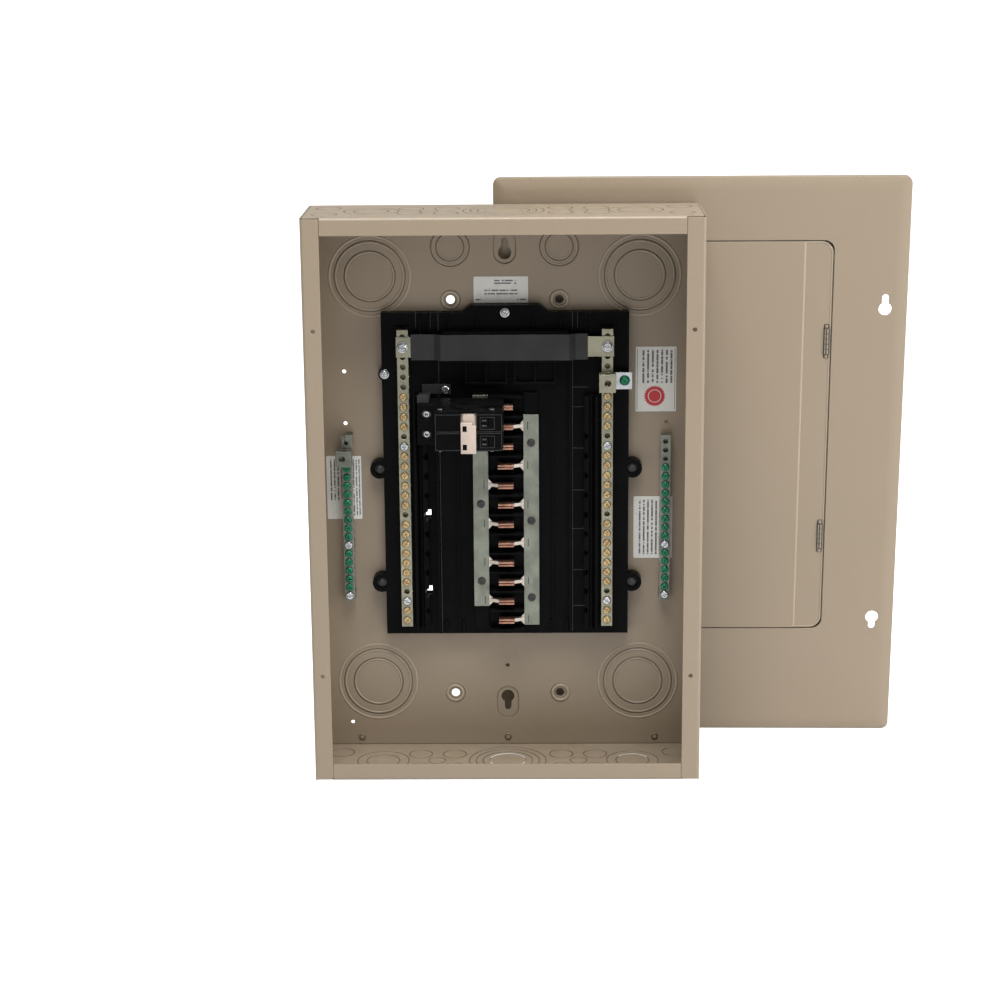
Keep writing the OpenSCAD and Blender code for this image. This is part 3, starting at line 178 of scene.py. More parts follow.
def rgba(colour: object) -> object:
    """Gives a colour tuple its alpha; leaves sockets as they are."""
    if isinstance(colour, tuple) and len(colour) == 3:
        return (*colour, 1.0)
    return colour


class GroupMaker:
    """Builds the shared shader groups, each once."""

    def __init__(self) -> None:
        """Starts with no groups."""
        self.made: dict[str, bpy.types.NodeTree] = {}

    def start(self, name: str, inputs: dict[str, float],
              outputs: dict[str, str]) -> tuple[Graph, bpy.types.Node, bpy.types.Node]:
        """Starts a group with float inputs.

        Args:
            name: The group's name.
            inputs: Input names and their default values.
            outputs: Output names and their socket types.

        Returns:
            The graph, its input node and its output node.
        """
        tree = bpy.data.node_groups.new(name, "ShaderNodeTree")
        for label, value in inputs.items():
            socket = tree.interface.new_socket(label, in_out="INPUT", socket_type="NodeSocketFloat")
            socket.default_value = value
        for label, kind in outputs.items():
            tree.interface.new_socket(label, in_out="OUTPUT", socket_type=kind)
        self.made[name] = tree
        graph = Graph(tree)
        return graph, graph.add("NodeGroupInput"), graph.add("NodeGroupOutput")

    def get(self, name: str) -> bpy.types.NodeTree:
        """Returns a group, building it the first time.

        Args:
            name: The name of the group, which is also its method's name.

        Returns:
            The group's tree.
        """
        if name not in self.made:
            getattr(self, name)()
        return self.made[name]

    def soft_edge(self) -> None:
        """Rounded normals, and a mask that is 1 along the edges."""
        graph, given, out = self.start(
            "soft_edge",
            {"Radius": 0.5 * MM, "Gain": 6.0},
            {"Normal": "NodeSocketVector", "Edge": "NodeSocketFloat"},
        )
        bevel = graph.add("ShaderNodeBevel", samples=6)
        graph.join(given.outputs["Radius"], bevel.inputs["Radius"])
        flat = graph.add("ShaderNodeNewGeometry")
        dot = graph.add("ShaderNodeVectorMath", operation="DOT_PRODUCT")
        graph.join(bevel.outputs["Normal"], dot.inputs[0])
        graph.join(flat.outputs["Normal"], dot.inputs[1])
        away = graph.math("SUBTRACT", 1.0, dot.outputs["Value"], clamp=True)
        edge = graph.math("MULTIPLY", away, given.outputs["Gain"], clamp=True)
        graph.join(bevel.outputs["Normal"], out.inputs["Normal"])
        graph.join(edge, out.inputs["Edge"])

    def painted_crevice_shade(self) -> None:
        """Ambient-occlusion mask of grooves, seams and inner corners, used to paint shade into the colour."""
        graph, given, out = self.start(
            "painted_crevice_shade", {"Reach": 1.2 * MM, "Gain": 1.6}, {"Depth": "NodeSocketFloat"}
        )
        shade = graph.add("ShaderNodeAmbientOcclusion", samples=6)
        graph.join(given.outputs["Reach"], shade.inputs["Distance"])
        hidden = graph.math("SUBTRACT", 1.0, shade.outputs["AO"], clamp=True)
        graph.join(graph.math("MULTIPLY", hidden, given.outputs["Gain"], clamp=True), out.inputs["Depth"])

    def mottle(self) -> None:
        """Cloudy variation with a finer grain inside it."""
        graph, given, out = self.start(
            "mottle",
            {"Broad": 9.0, "Fine": 160.0},
            {"Cloud": "NodeSocketFloat", "Grain": "NodeSocketFloat"},
        )
        place = graph.add("ShaderNodeTexCoord")
        for label, target in (("Broad", "Cloud"), ("Fine", "Grain")):
            noise = graph.add("ShaderNodeTexNoise")
            noise.inputs["Detail"].default_value = 3.0
            graph.join(place.outputs["Object"], noise.inputs["Vector"])
            graph.join(given.outputs[label], noise.inputs["Scale"])
            graph.join(noise.outputs["Fac"], out.inputs[target])

    def peel(self) -> None:
        """Orange-peel height of a sprayed or moulded skin."""
        graph, given, out = self.start("peel", {"Scale": 700.0}, {"Height": "NodeSocketFloat"})
        place = graph.add("ShaderNodeTexCoord")
        noise = graph.add("ShaderNodeTexNoise")
        noise.inputs["Detail"].default_value = 1.0
        graph.join(place.outputs["Object"], noise.inputs["Vector"])
        graph.join(given.outputs["Scale"], noise.inputs["Scale"])
        graph.join(noise.outputs["Fac"], out.inputs["Height"])

    def streaks(self) -> None:
        """Drawn or brushed lines along Z."""
        graph, given, out = self.start(
            "streaks", {"Across": 1400.0, "Along": 25.0}, {"Line": "NodeSocketFloat"}
        )
        place = graph.add("ShaderNodeTexCoord")
        scale = graph.add("ShaderNodeCombineXYZ")
        graph.join(given.outputs["Across"], scale.inputs["X"])
        graph.join(given.outputs["Across"], scale.inputs["Y"])
        graph.join(given.outputs["Along"], scale.inputs["Z"])
        stretch = graph.add("ShaderNodeVectorMath", operation="MULTIPLY")
        graph.join(place.outputs["Object"], stretch.inputs[0])
        graph.join(scale.outputs[0], stretch.inputs[1])
        noise = graph.add("ShaderNodeTexNoise")
        noise.inputs["Scale"].default_value = 1.0
        graph.join(stretch.outputs[0], noise.inputs["Vector"])
        graph.join(noise.outputs["Fac"], out.inputs["Line"])

    def dust(self) -> None:
        """Mask of fine dust that settles on what faces up."""
        graph, given, out = self.start("dust", {"Scale": 60.0, "Amount": 0.5}, {"Dust": "NodeSocketFloat"})
        facing = graph.add("ShaderNodeNewGeometry")
        split = graph.add("ShaderNodeSeparateXYZ")
        graph.join(facing.outputs["Normal"], split.inputs[0])
        place = graph.add("ShaderNodeTexCoord")
        noise = graph.add("ShaderNodeTexNoise")
        noise.inputs["Detail"].default_value = 5.0
        graph.join(place.outputs["Object"], noise.inputs["Vector"])
        graph.join(given.outputs["Scale"], noise.inputs["Scale"])
        up = graph.spread(split.outputs["Z"], 0.2, 1.0, 0.0, 1.0)
        patch = graph.spread(noise.outputs["Fac"], 0.4, 0.7, 0.0, 1.0)
        both = graph.math("MULTIPLY", up, patch, clamp=True)
        graph.join(graph.math("MULTIPLY", both, given.outputs["Amount"], clamp=True), out.inputs["Dust"])

    def print_rows(self) -> None:
        """Mask of generic printed rows inside a field of the piece's UV map."""
        graph, given, out = self.start(
            "print_rows",
            {"Rows": 8.0, "Left": 0.1, "Right": 0.9, "Low": 0.1, "High": 0.9, "Words": 14.0, "Weight": 0.45},
            {"Ink": "NodeSocketFloat"},
        )
        place = graph.add("ShaderNodeTexCoord")
        split = graph.add("ShaderNodeSeparateXYZ")
        graph.join(place.outputs["UV"], split.inputs[0])
        u, v = split.outputs["X"], split.outputs["Y"]
        along = graph.math("DIVIDE", graph.math("SUBTRACT", v, given.outputs["Low"]),
                           graph.math("SUBTRACT", given.outputs["High"], given.outputs["Low"]))
        row = graph.math("MULTIPLY", along, given.outputs["Rows"])
        inside_row = graph.math("LESS_THAN", graph.math("FRACT", row), given.outputs["Weight"])
        cell = graph.add("ShaderNodeCombineXYZ")
        graph.join(graph.math("MULTIPLY", u, given.outputs["Words"]), cell.inputs["X"])
        graph.join(graph.math("MULTIPLY", graph.math("FLOOR", row), 7.3), cell.inputs["Y"])
        words = graph.add("ShaderNodeTexNoise")
        words.inputs["Scale"].default_value = 1.0
        graph.join(cell.outputs[0], words.inputs["Vector"])
        word = graph.math("GREATER_THAN", words.outputs["Fac"], 0.43)
        ink = graph.math("MULTIPLY", inside_row, word)
        for value, edge, test in (
            (u, "Left", "GREATER_THAN"), (u, "Right", "LESS_THAN"),
            (v, "Low", "GREATER_THAN"), (v, "High", "LESS_THAN"),
        ):
            ink = graph.math("MULTIPLY", ink, graph.math(test, value, given.outputs[edge]))
        graph.join(ink, out.inputs["Ink"])


GROUPS = GroupMaker()


def place_group(graph: Graph, name: str, **values: float) -> bpy.types.Node:
    """Places a shared group in a material.

    Args:
        graph: The material's graph.
        name: The group's name.
        values: Input values, with the inputs' names.

    Returns:
        The group node.
    """
    node = graph.add("ShaderNodeGroup")
    node.node_tree = GROUPS.get(name)
    for label, value in values.items():
        node.inputs[label].default_value = value
    return node


# ---- finishes ----------------------------------------------------------------


@dataclass(frozen=True)
class Finish:
    """A surface finish, made into one material.

    A finish is a base colour that clouds into a second one, with edges lightened
    in colour, partly as wear and partly as a painted highlight, painted shade in
    its grooves, seams and inner corners, a fine skin, optional drawn lines and
    settled dust.
    """

    name: str
    colour: Colour
    cloud: Colour
    # edge: lighter colour of the edges, partly wear and partly a painted highlight.
    edge: Colour
    rough: float = 0.4
    rough_swing: float = 0.06
    metallic: float = 0.0
    specular: float = 0.5
    coat: float = 0.0
    edge_radius: float = 0.5 * MM
    # Share of the lighter edge colour: partly wear, partly a painted highlight.
    edge_wear_and_highlight_share: float = 0.4
    broad: float = 9.0
    fine: float = 160.0
    peel_scale: float = 700.0
    peel_depth: float = 0.02 * MM
    line_share: float = 0.0
    dust_share: float = 0.1
    dust: Colour = (0.55, 0.52, 0.48)
    # Painted shade: how strongly and how far ambient occlusion darkens grooves, seams and corners.
    painted_shade_share: float = 0.7
    painted_shade_reach: float = 1.2 * MM

    def build(self) -> bpy.types.Material:
        """Builds the material.

        Returns:
            The finished material.
        """
        graph, shader = start_material(self.name)
        colour = self.paint(graph)
        self.dress(graph, shader, colour)
        return bpy.data.materials[self.name]

    def paint(self, graph: Graph) -> bpy.types.NodeSocket:
        """Lays down the base colour and its clouds.

        Args:
            graph: The material's graph.

        Returns:
            The colour before edges and dust.
        """
        clouds = place_group(graph, "mottle", Broad=self.broad, Fine=self.fine)
        share = graph.spread(clouds.outputs["Cloud"], 0.35, 0.65, 0.0, 1.0)
        colour = graph.blend(share, self.colour, self.cloud)
        if self.line_share:
            lines = place_group(graph, "streaks")
            dark = tuple(0.55 * part for part in self.colour)
            amount = graph.math("MULTIPLY", lines.outputs["Line"], self.line_share)
            colour = graph.blend(amount, colour, dark)
        return colour

    def dress(self, graph: Graph, shader: bpy.types.Node, colour: bpy.types.NodeSocket) -> None:
        """Adds lightened edges (wear and painted highlight), painted shade in crevices, dust, roughness and
        relief, and feeds the shader.

        Args:
            graph: The material's graph.
            shader: The Principled shader.
            colour: The colour to finish.
        """
        # Painted highlight and wear: the edge mask blends the colour towards the lighter edge colour.
        soft = place_group(graph, "soft_edge", Radius=self.edge_radius)
        edge = graph.math("MULTIPLY", soft.outputs["Edge"], self.edge_wear_and_highlight_share)
        colour = graph.blend(edge, colour, self.edge)
        # Painted shade: ambient occlusion darkens grooves, seams and inner corners towards 12% of the base colour.
        painted_shade = place_group(graph, "painted_crevice_shade", Reach=self.painted_shade_reach)
        dark = tuple(0.12 * part for part in self.colour)
        colour = graph.blend(graph.math("MULTIPLY", painted_shade.outputs["Depth"], self.painted_shade_share), colour, dark)
        grime = place_group(graph, "dust", Amount=self.dust_share)
        colour = graph.blend(grime.outputs["Dust"], colour, self.dust)
        graph.join(colour, shader.inputs["Base Color"])
        grain = place_group(graph, "mottle", Broad=self.broad * 3, Fine=self.fine)
        rough = graph.spread(grain.outputs["Grain"], 0.3, 0.7, self.rough - self.rough_swing,
                             self.rough + self.rough_swing)
        graph.join(rough, shader.inputs["Roughness"])
        skin = place_group(graph, "peel", Scale=self.peel_scale)
        bump = graph.add("ShaderNodeBump")
        bump.inputs["Strength"].default_value = 1.0
        bump.inputs["Distance"].default_value = self.peel_depth
        graph.join(skin.outputs["Height"], bump.inputs["Height"])
        graph.join(soft.outputs["Normal"], bump.inputs["Normal"])
        graph.join(bump.outputs["Normal"], shader.inputs["Normal"])
        shader.inputs["Metallic"].default_value = self.metallic
        shader.inputs["Specular IOR Level"].default_value = self.specular
        shader.inputs["Coat Weight"].default_value = self.coat
        shader.inputs["Coat Roughness"].default_value = 0.25


@dataclass(frozen=True)
class StabFinish(Finish):
    """Bare copper alloy whose root, beside the bus bar, keeps its tin."""

    tin: Colour = (0.56, 0.50, 0.44)
    tin_from: float = 8.2 * MM

    def paint(self, graph: Graph) -> bpy.types.NodeSocket:
        """Lays copper over the blade and tin over its root.

        Args:
            graph: The material's graph.

        Returns:
            The colour before edges and dust.
        """
        copper = super().paint(graph)
        place = graph.add("ShaderNodeTexCoord")
        split = graph.add("ShaderNodeSeparateXYZ")
        graph.join(place.outputs["Object"], split.inputs[0])
        away = graph.math("ABSOLUTE", split.outputs["X"])
        tinned = graph.spread(away, self.tin_from - 1.5 * MM, self.tin_from, 0.0, 1.0)
        return graph.blend(tinned, copper, self.tin)


@dataclass(frozen=True)
class PrintedFinish(Finish):
    """Printed film: rows of generic bars, with no lettering."""

    ink: Colour = (0.09, 0.09, 0.1)
    fields: tuple[dict[str, float], ...] = ()

    def paint(self, graph: Graph) -> bpy.types.NodeSocket:
        """Prints each field of rows on the film.

        Args:
            graph: The material's graph.

        Returns:
            The colour before edges and dust.
        """
        colour = super().paint(graph)
        for rows in self.fields:
            printed = place_group(graph, "print_rows", **rows)
            colour = graph.blend(printed.outputs["Ink"], colour, self.ink)
        return colour


def start_material(name: str) -> tuple[Graph, bpy.types.Node]:
    """Starts a material with a Principled shader.

    Args:
        name: The material's name.

    Returns:
        Its graph and its shader.
    """
    material = bpy.data.materials.new(name)
    material.use_nodes = True
    material.node_tree.nodes.clear()
    graph = Graph(material.node_tree)
    shader = graph.add("ShaderNodeBsdfPrincipled")
    output = graph.add("ShaderNodeOutputMaterial")
    graph.join(shader.outputs["BSDF"], output.inputs["Surface"])
    return graph, shader


class Slot(Enum):
    """The record's material slots."""

    TAN = "tan_paint"
    BLACK = "black_plastic"
    TIN = "tin_plate"
    COPPER = "copper"
    BRASS = "brass_plate"
    ZINC = "zinc_plate"
    OXIDE = "black_oxide"
    GREEN = "green_steel"
    SLEEVE = "sleeve_grey"
    BEIGE = "handle_beige"
    BROWN = "latch_brown"
    PAPER = "label_paper"


FINISHES: dict[Slot, Finish] = {
    Slot.TAN: Finish(
        "tan_enamel", (0.266, 0.210, 0.146), (0.274, 0.216, 0.152), (0.38, 0.31, 0.235),
        rough=0.42, coat=0.12, edge_radius=1.0 * MM, edge_wear_and_highlight_share=0.35, broad=4.0,
        peel_scale=520.0, peel_depth=0.03 * MM, dust_share=0.08, painted_shade_share=0.95,
    ),
    Slot.BLACK: Finish(
        "black_moulding", (0.0026, 0.0026, 0.0028), (0.004, 0.004, 0.0044), (0.018, 0.018, 0.019),
        rough=0.3, specular=0.035, edge_radius=0.4 * MM, edge_wear_and_highlight_share=0.6, broad=24.0,
        peel_scale=1100.0, peel_depth=0.02 * MM, dust_share=0.08, dust=(0.08, 0.075, 0.07),
    ),
    Slot.TIN: Finish(
        "tin_plating", (0.27, 0.285, 0.235), (0.17, 0.18, 0.15), (0.60, 0.62, 0.54),
        rough=0.42, rough_swing=0.12, metallic=0.75, edge_wear_and_highlight_share=0.6, broad=60.0, fine=400.0,
        line_share=0.5, peel_depth=0.015 * MM,
    ),
    Slot.COPPER: StabFinish(
        "copper_alloy", (0.50, 0.27, 0.19), (0.32, 0.15, 0.10), (0.78, 0.52, 0.40),
        rough=0.34, rough_swing=0.1, metallic=0.85, edge_radius=0.3 * MM, edge_wear_and_highlight_share=0.6,
        broad=180.0, fine=500.0,
    ),
    Slot.BRASS: Finish(
        "yellow_chromate", (0.52, 0.39, 0.19), (0.42, 0.27, 0.13), (0.80, 0.68, 0.42),
        rough=0.3, rough_swing=0.1, metallic=0.85, edge_radius=0.25 * MM, edge_wear_and_highlight_share=0.7,
        broad=160.0, fine=600.0,
    ),
    Slot.ZINC: Finish(
        "bright_zinc", (0.55, 0.56, 0.57), (0.40, 0.42, 0.45), (0.85, 0.85, 0.85),
        rough=0.24, rough_swing=0.08, metallic=0.95, edge_radius=0.25 * MM, edge_wear_and_highlight_share=0.6,
        broad=140.0, fine=500.0,
    ),
    Slot.OXIDE: Finish(
        "black_oxide", (0.008, 0.009, 0.008), (0.016, 0.017, 0.014), (0.06, 0.06, 0.055),
        rough=0.38, metallic=0.4, specular=0.3, edge_radius=0.25 * MM, broad=140.0,
    ),
    Slot.GREEN: Finish(
        "green_plating", (0.012, 0.20, 0.095), (0.008, 0.12, 0.065), (0.10, 0.55, 0.32),
        rough=0.27, rough_swing=0.1, metallic=0.6, edge_radius=0.25 * MM, edge_wear_and_highlight_share=0.7,
        broad=160.0, fine=500.0,
    ),
    Slot.SLEEVE: Finish(
        "fibre_sleeve", (0.017, 0.017, 0.018), (0.023, 0.023, 0.024), (0.05, 0.05, 0.05),
        rough=0.5, specular=0.3, edge_wear_and_highlight_share=0.35, broad=40.0, peel_scale=1500.0,
    ),
    Slot.BEIGE: Finish(
        "handle_moulding", (0.46, 0.37, 0.31), (0.49, 0.40, 0.335), (0.66, 0.57, 0.50),
        rough=0.4, edge_radius=0.6 * MM, broad=60.0, peel_scale=1200.0,
    ),
    Slot.BROWN: Finish(
        "latch_moulding", (0.05, 0.04, 0.03), (0.06, 0.05, 0.04), (0.12, 0.10, 0.08),
        rough=0.4, broad=60.0, peel_scale=1200.0,
    ),
    Slot.PAPER: Finish(
        "label_film", (0.66, 0.65, 0.61), (0.62, 0.61, 0.57), (0.75, 0.74, 0.71),
        rough=0.3, edge_radius=0.05 * MM, peel_depth=0.004 * MM, dust_share=0.02,
    ),
}
NEUTRAL_PLATING = Finish(
    "neutral_plating", (0.35, 0.335, 0.245), (0.24, 0.23, 0.17), (0.68, 0.66, 0.52),
    rough=0.38, rough_swing=0.12, metallic=0.75, edge_wear_and_highlight_share=0.7, broad=60.0, fine=400.0,
    line_share=0.4, peel_depth=0.015 * MM,
)
# Near-white bare sheared edges: the pale colour is a painted highlight for the light through the knockout slits.
SHEARED_EDGE_HIGHLIGHT = Finish(
    "sheared_edge_highlight", (0.80, 0.79, 0.76), (0.72, 0.71, 0.68), (0.9, 0.9, 0.88),
    rough=0.45, metallic=0.2, edge_radius=0.1 * MM, broad=200.0, painted_shade_share=0.2,
)
# A lighter copy of the tan enamel: a painted highlight on ridges, beads and creases.
CREST_HIGHLIGHT_ENAMEL = Finish(
    "crest_highlight_enamel", (0.345, 0.28, 0.20), (0.36, 0.29, 0.21), (0.46, 0.39, 0.30),
    rough=0.36, coat=0.15, edge_radius=0.6 * MM, edge_wear_and_highlight_share=0.4, broad=4.0,
    peel_scale=520.0, peel_depth=0.02 * MM, dust_share=0.05, painted_shade_share=0.5,
)
# Grey on black mouldings: a painted highlight along crests and moulded edges.
MOULDED_HIGHLIGHT = Finish(
    "moulded_highlight", (0.045, 0.045, 0.045), (0.03, 0.03, 0.03), (0.09, 0.09, 0.09),
    rough=0.35, specular=0.3, edge_radius=0.1 * MM, broad=140.0,
)
RED_INK = Finish(
    "red_ink", (0.50, 0.010, 0.018), (0.42, 0.008, 0.015), (0.55, 0.03, 0.03),
    rough=0.32, edge_radius=0.03 * MM, peel_depth=0.004 * MM, dust_share=0.02,
)


class Paintbox:
    """Builds each finish once and hands out its material."""

    def __init__(self) -> None:
        """Starts with no material."""
        self.made: dict[str, bpy.types.Material] = {}

    def get(self, finish: Finish) -> bpy.types.Material:
        """Returns a finish's material, building it the first time."""
        if finish.name not in self.made:
            self.made[finish.name] = finish.build()
        return self.made[finish.name]

    def slot(self, slot: Slot) -> bpy.types.Material:
        """Returns the material of a record slot."""
        return self.get(FINISHES[slot])


# ---- mesh helpers ------------------------------------------------------------


def to_object(name: str, bm: bmesh.types.BMesh, smooth_deg: float = 32.0) -> bpy.types.Object:
    """Turns a bmesh into an object of the scene.

    Args:
        name: The piece's name.
        bm: The finished bmesh, which is freed.
        smooth_deg: Edges sharper than this stay sharp.

    Returns:
        The new object, at the origin.
    """
    bmesh.ops.remove_doubles(bm, verts=bm.verts, dist=1e-7)
    bmesh.ops.recalc_face_normals(bm, faces=bm.faces)
    mesh = bpy.data.meshes.new(name)
    bm.to_mesh(mesh)
    bm.free()
    mesh.shade_smooth()
    mesh.set_sharp_from_angle(angle=math.radians(smooth_deg))
    piece = bpy.data.objects.new(name, mesh)
    bpy.context.scene.collection.objects.link(piece)
    return piece


def add_block(bm: bmesh.types.BMesh, low: Sequence[float], high: Sequence[float],
              round_by: float = 0.0) -> None:
    """Adds a box with rounded edges.

    Args:
        bm: The bmesh to add to.
        low: Lowest corner.
        high: Highest corner.
        round_by: Radius of its edges, or 0.
    """
    size = Vector(high) - Vector(low)
    middle = (Vector(high) + Vector(low)) / 2
    made = bmesh.ops.create_cube(bm, size=1.0)
    for vert in made["verts"]:
        vert.co = Vector((vert.co.x * size.x, vert.co.y * size.y, vert.co.z * size.z)) + middle
    if round_by:
        edges = list(dict.fromkeys(edge for vert in made["verts"] for edge in vert.link_edges))
        bmesh.ops.bevel(bm, geom=edges, offset=round_by, segments=2, affect="EDGES", profile=0.5)


def add_prism(bm: bmesh.types.BMesh, outline: Sequence[Point], low: float, high: float,
              axis: str = "y", material: int = 0) -> None:
    """Adds an outline drawn out along Y or Z.

    Args:
        bm: The bmesh to add to.
        outline: Its points, in X and Z for axis y, or in X and Y for axis z.
        low: Where it starts.
        high: Where it ends.
        axis: The direction that it is drawn in.
        material: Its material's place on the piece.
    """
    before = set(bm.faces)
    if axis == "y":
        rings = [[bm.verts.new((a, level, b)) for a, b in outline] for level in (low, high)]
    else:
        rings = [[bm.verts.new((a, b, level)) for a, b in outline] for level in (low, high)]
    add_ring_surface(bm, rings)
    bm.faces.new(rings[0])
    bm.faces.new(rings[1])
    for face in set(bm.faces) - before:
        face.material_index = material


def add_ring_surface(bm: bmesh.types.BMesh, rings: Sequence[Sequence[bmesh.types.BMVert]]) -> None:
    """Joins closed rings of equal length with quads.

    Args:
        bm: The bmesh to add to.
        rings: The rings, from the first to the last.
    """
    for near, far in zip(rings, rings[1:]):
        for place in range(len(near)):
            after = (place + 1) % len(near)
            bm.faces.new((near[place], near[after], far[after], far[place]))


def round_rect(middle: Point, size: Point, radius: float, steps: int = 8) -> list[Point]:
    """Outline of a rectangle with round corners.

    Args:
        middle: Its middle.
        size: Its width and height.
        radius: Radius of its corners.
        steps: Segments per corner.

    Returns:
        Its points, anticlockwise.
    """
    points = []
    for turn, (sx, sz) in enumerate(((1, 1), (-1, 1), (-1, -1), (1, -1))):
        cx = middle[0] + sx * (size[0] / 2 - radius)
        cz = middle[1] + sz * (size[1] / 2 - radius)
        for step in range(steps + 1):
            angle = math.pi / 2 * (turn + step / steps)
            points.append((cx + radius * math.cos(angle), cz + radius * math.sin(angle)))
    return points


def islands(node: str) -> list[tuple[Vector, Vector]]:
    """Boxes of the separate solids of a CAD node.

    Args:
        node: The node's name.

    Returns:
        The lowest and highest corner of each solid, from the top down.
    """
    bm = bmesh.new()
    bm.from_mesh(frame["nodes"][node].data)
    bmesh.ops.remove_doubles(bm, verts=bm.verts, dist=1e-6)
    left = set(bm.verts)
    boxes = []
    while left:
        stack = [left.pop()]
        low, high = stack[0].co.copy(), stack[0].co.copy()
        while stack:
            vert = stack.pop()
            low = Vector(map(min, low, vert.co))
            high = Vector(map(max, high, vert.co))
            for edge in vert.link_edges:
                other = edge.other_vert(vert)
                if other in left:
                    left.discard(other)
                    stack.append(other)
        boxes.append((low, high))
    bm.free()
    return sorted(boxes, key=lambda box: (-round(box[0].z, 5), round(box[0].x, 5)))


def settle(piece: bpy.types.Object, body: str, nodes: Iterable[str] = ()) -> None:
    """Hands a finished piece to the frame.

    Args:
        piece: The piece, in place.
        body: The CAD body it rides on.
        nodes: The CAD nodes that it replaces.
    """
    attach(piece, body)
    if nodes:
        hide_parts(*nodes)
    LOG.info("%s rides on %s, %d faces", piece.name, body, len(piece.data.polygons))


# ---- repeated pieces by Geometry Nodes ---------------------------------------


class Scatter:
    """A Geometry Nodes tree that sets a template on points."""

    def __init__(self) -> None:
        """Builds the tree with its named inputs."""
        self.tree = bpy.data.node_groups.new("set_on_points", "GeometryNodeTree")
        face = self.tree.interface
        self.sockets = {
            "Geometry": face.new_socket("Geometry", in_out="INPUT", socket_type="NodeSocketGeometry"),
            "Template": face.new_socket("Template", in_out="INPUT", socket_type="NodeSocketObject"),
            "Turn": face.new_socket("Turn", in_out="INPUT", socket_type="NodeSocketFloat"),
            "Seed": face.new_socket("Seed", in_out="INPUT", socket_type="NodeSocketInt"),
            "Material": face.new_socket("Material", in_out="INPUT", socket_type="NodeSocketMaterial"),
        }
        face.new_socket("Geometry", in_out="OUTPUT", socket_type="NodeSocketGeometry")
        graph = Graph(self.tree)
        given, out = graph.add("NodeGroupInput"), graph.add("NodeGroupOutput")
        points = graph.add("GeometryNodeMeshToPoints")
        info = graph.add("GeometryNodeObjectInfo", transform_space="ORIGINAL")
        angle = graph.add("FunctionNodeRandomValue", data_type="FLOAT")
        spin = graph.add("ShaderNodeCombineXYZ")
        copies = graph.add("GeometryNodeInstanceOnPoints")
        real = graph.add("GeometryNodeRealizeInstances")
        dress = graph.add("GeometryNodeSetMaterial")
        graph.join(given.outputs["Geometry"], points.inputs["Mesh"])
        graph.join(given.outputs["Template"], info.inputs["Object"])
        negative = graph.math("MULTIPLY", given.outputs["Turn"], -1.0)
        floats = [socket for socket in angle.inputs if socket.type == "VALUE" and socket.enabled]
        graph.join(negative, floats[0])
        graph.join(given.outputs["Turn"], floats[1])
        graph.join(given.outputs["Seed"], angle.inputs["Seed"])
        result = next(socket for socket in angle.outputs if socket.enabled)
        graph.join(result, spin.inputs["Y"])
        graph.join(points.outputs["Points"], copies.inputs["Points"])
        graph.join(info.outputs["Geometry"], copies.inputs["Instance"])
        graph.join(spin.outputs[0], copies.inputs["Rotation"])
        graph.join(copies.outputs["Instances"], real.inputs["Geometry"])
        graph.join(real.outputs["Geometry"], dress.inputs["Geometry"])
        graph.join(given.outputs["Material"], dress.inputs["Material"])
        graph.join(dress.outputs["Geometry"], out.inputs["Geometry"])

    def run(self, name: str, places: Sequence[Vector], template: bpy.types.Object,
            material: bpy.types.Material, turn: float = 0.0, seed: int = 1) -> bpy.types.Object:
        """Sets a template on points and returns one plain mesh.

        Args:
            name: The new piece's name.
            places: The points.
            template: The shape to repeat, which is removed.
            material: The material of all copies.
            turn: Largest turn about Y either way, in radians.
            seed: Seed of the turns.

        Returns:
            The new piece, at the origin.
        """
        cloud = bpy.data.meshes.new(name + "_points")
        cloud.from_pydata([tuple(place) for place in places], [], [])
        carrier = bpy.data.objects.new(name + "_carrier", cloud)
        bpy.context.scene.collection.objects.link(carrier)
        modifier = carrier.modifiers.new("set", "NODES")
        modifier.node_group = self.tree
        values = {"Template": template, "Turn": turn, "Seed": seed, "Material": material}
        for label, value in values.items():
            modifier[self.sockets[label].identifier] = value
        graph = bpy.context.evaluated_depsgraph_get()
        mesh = bpy.data.meshes.new_from_object(carrier.evaluated_get(graph))
        mesh.name = name
        bpy.data.objects.remove(carrier)
        bpy.data.objects.remove(template)
        piece = bpy.data.objects.new(name, mesh)
        bpy.context.scene.collection.objects.link(piece)
        return piece


# ---- screws ------------------------------------------------------------------


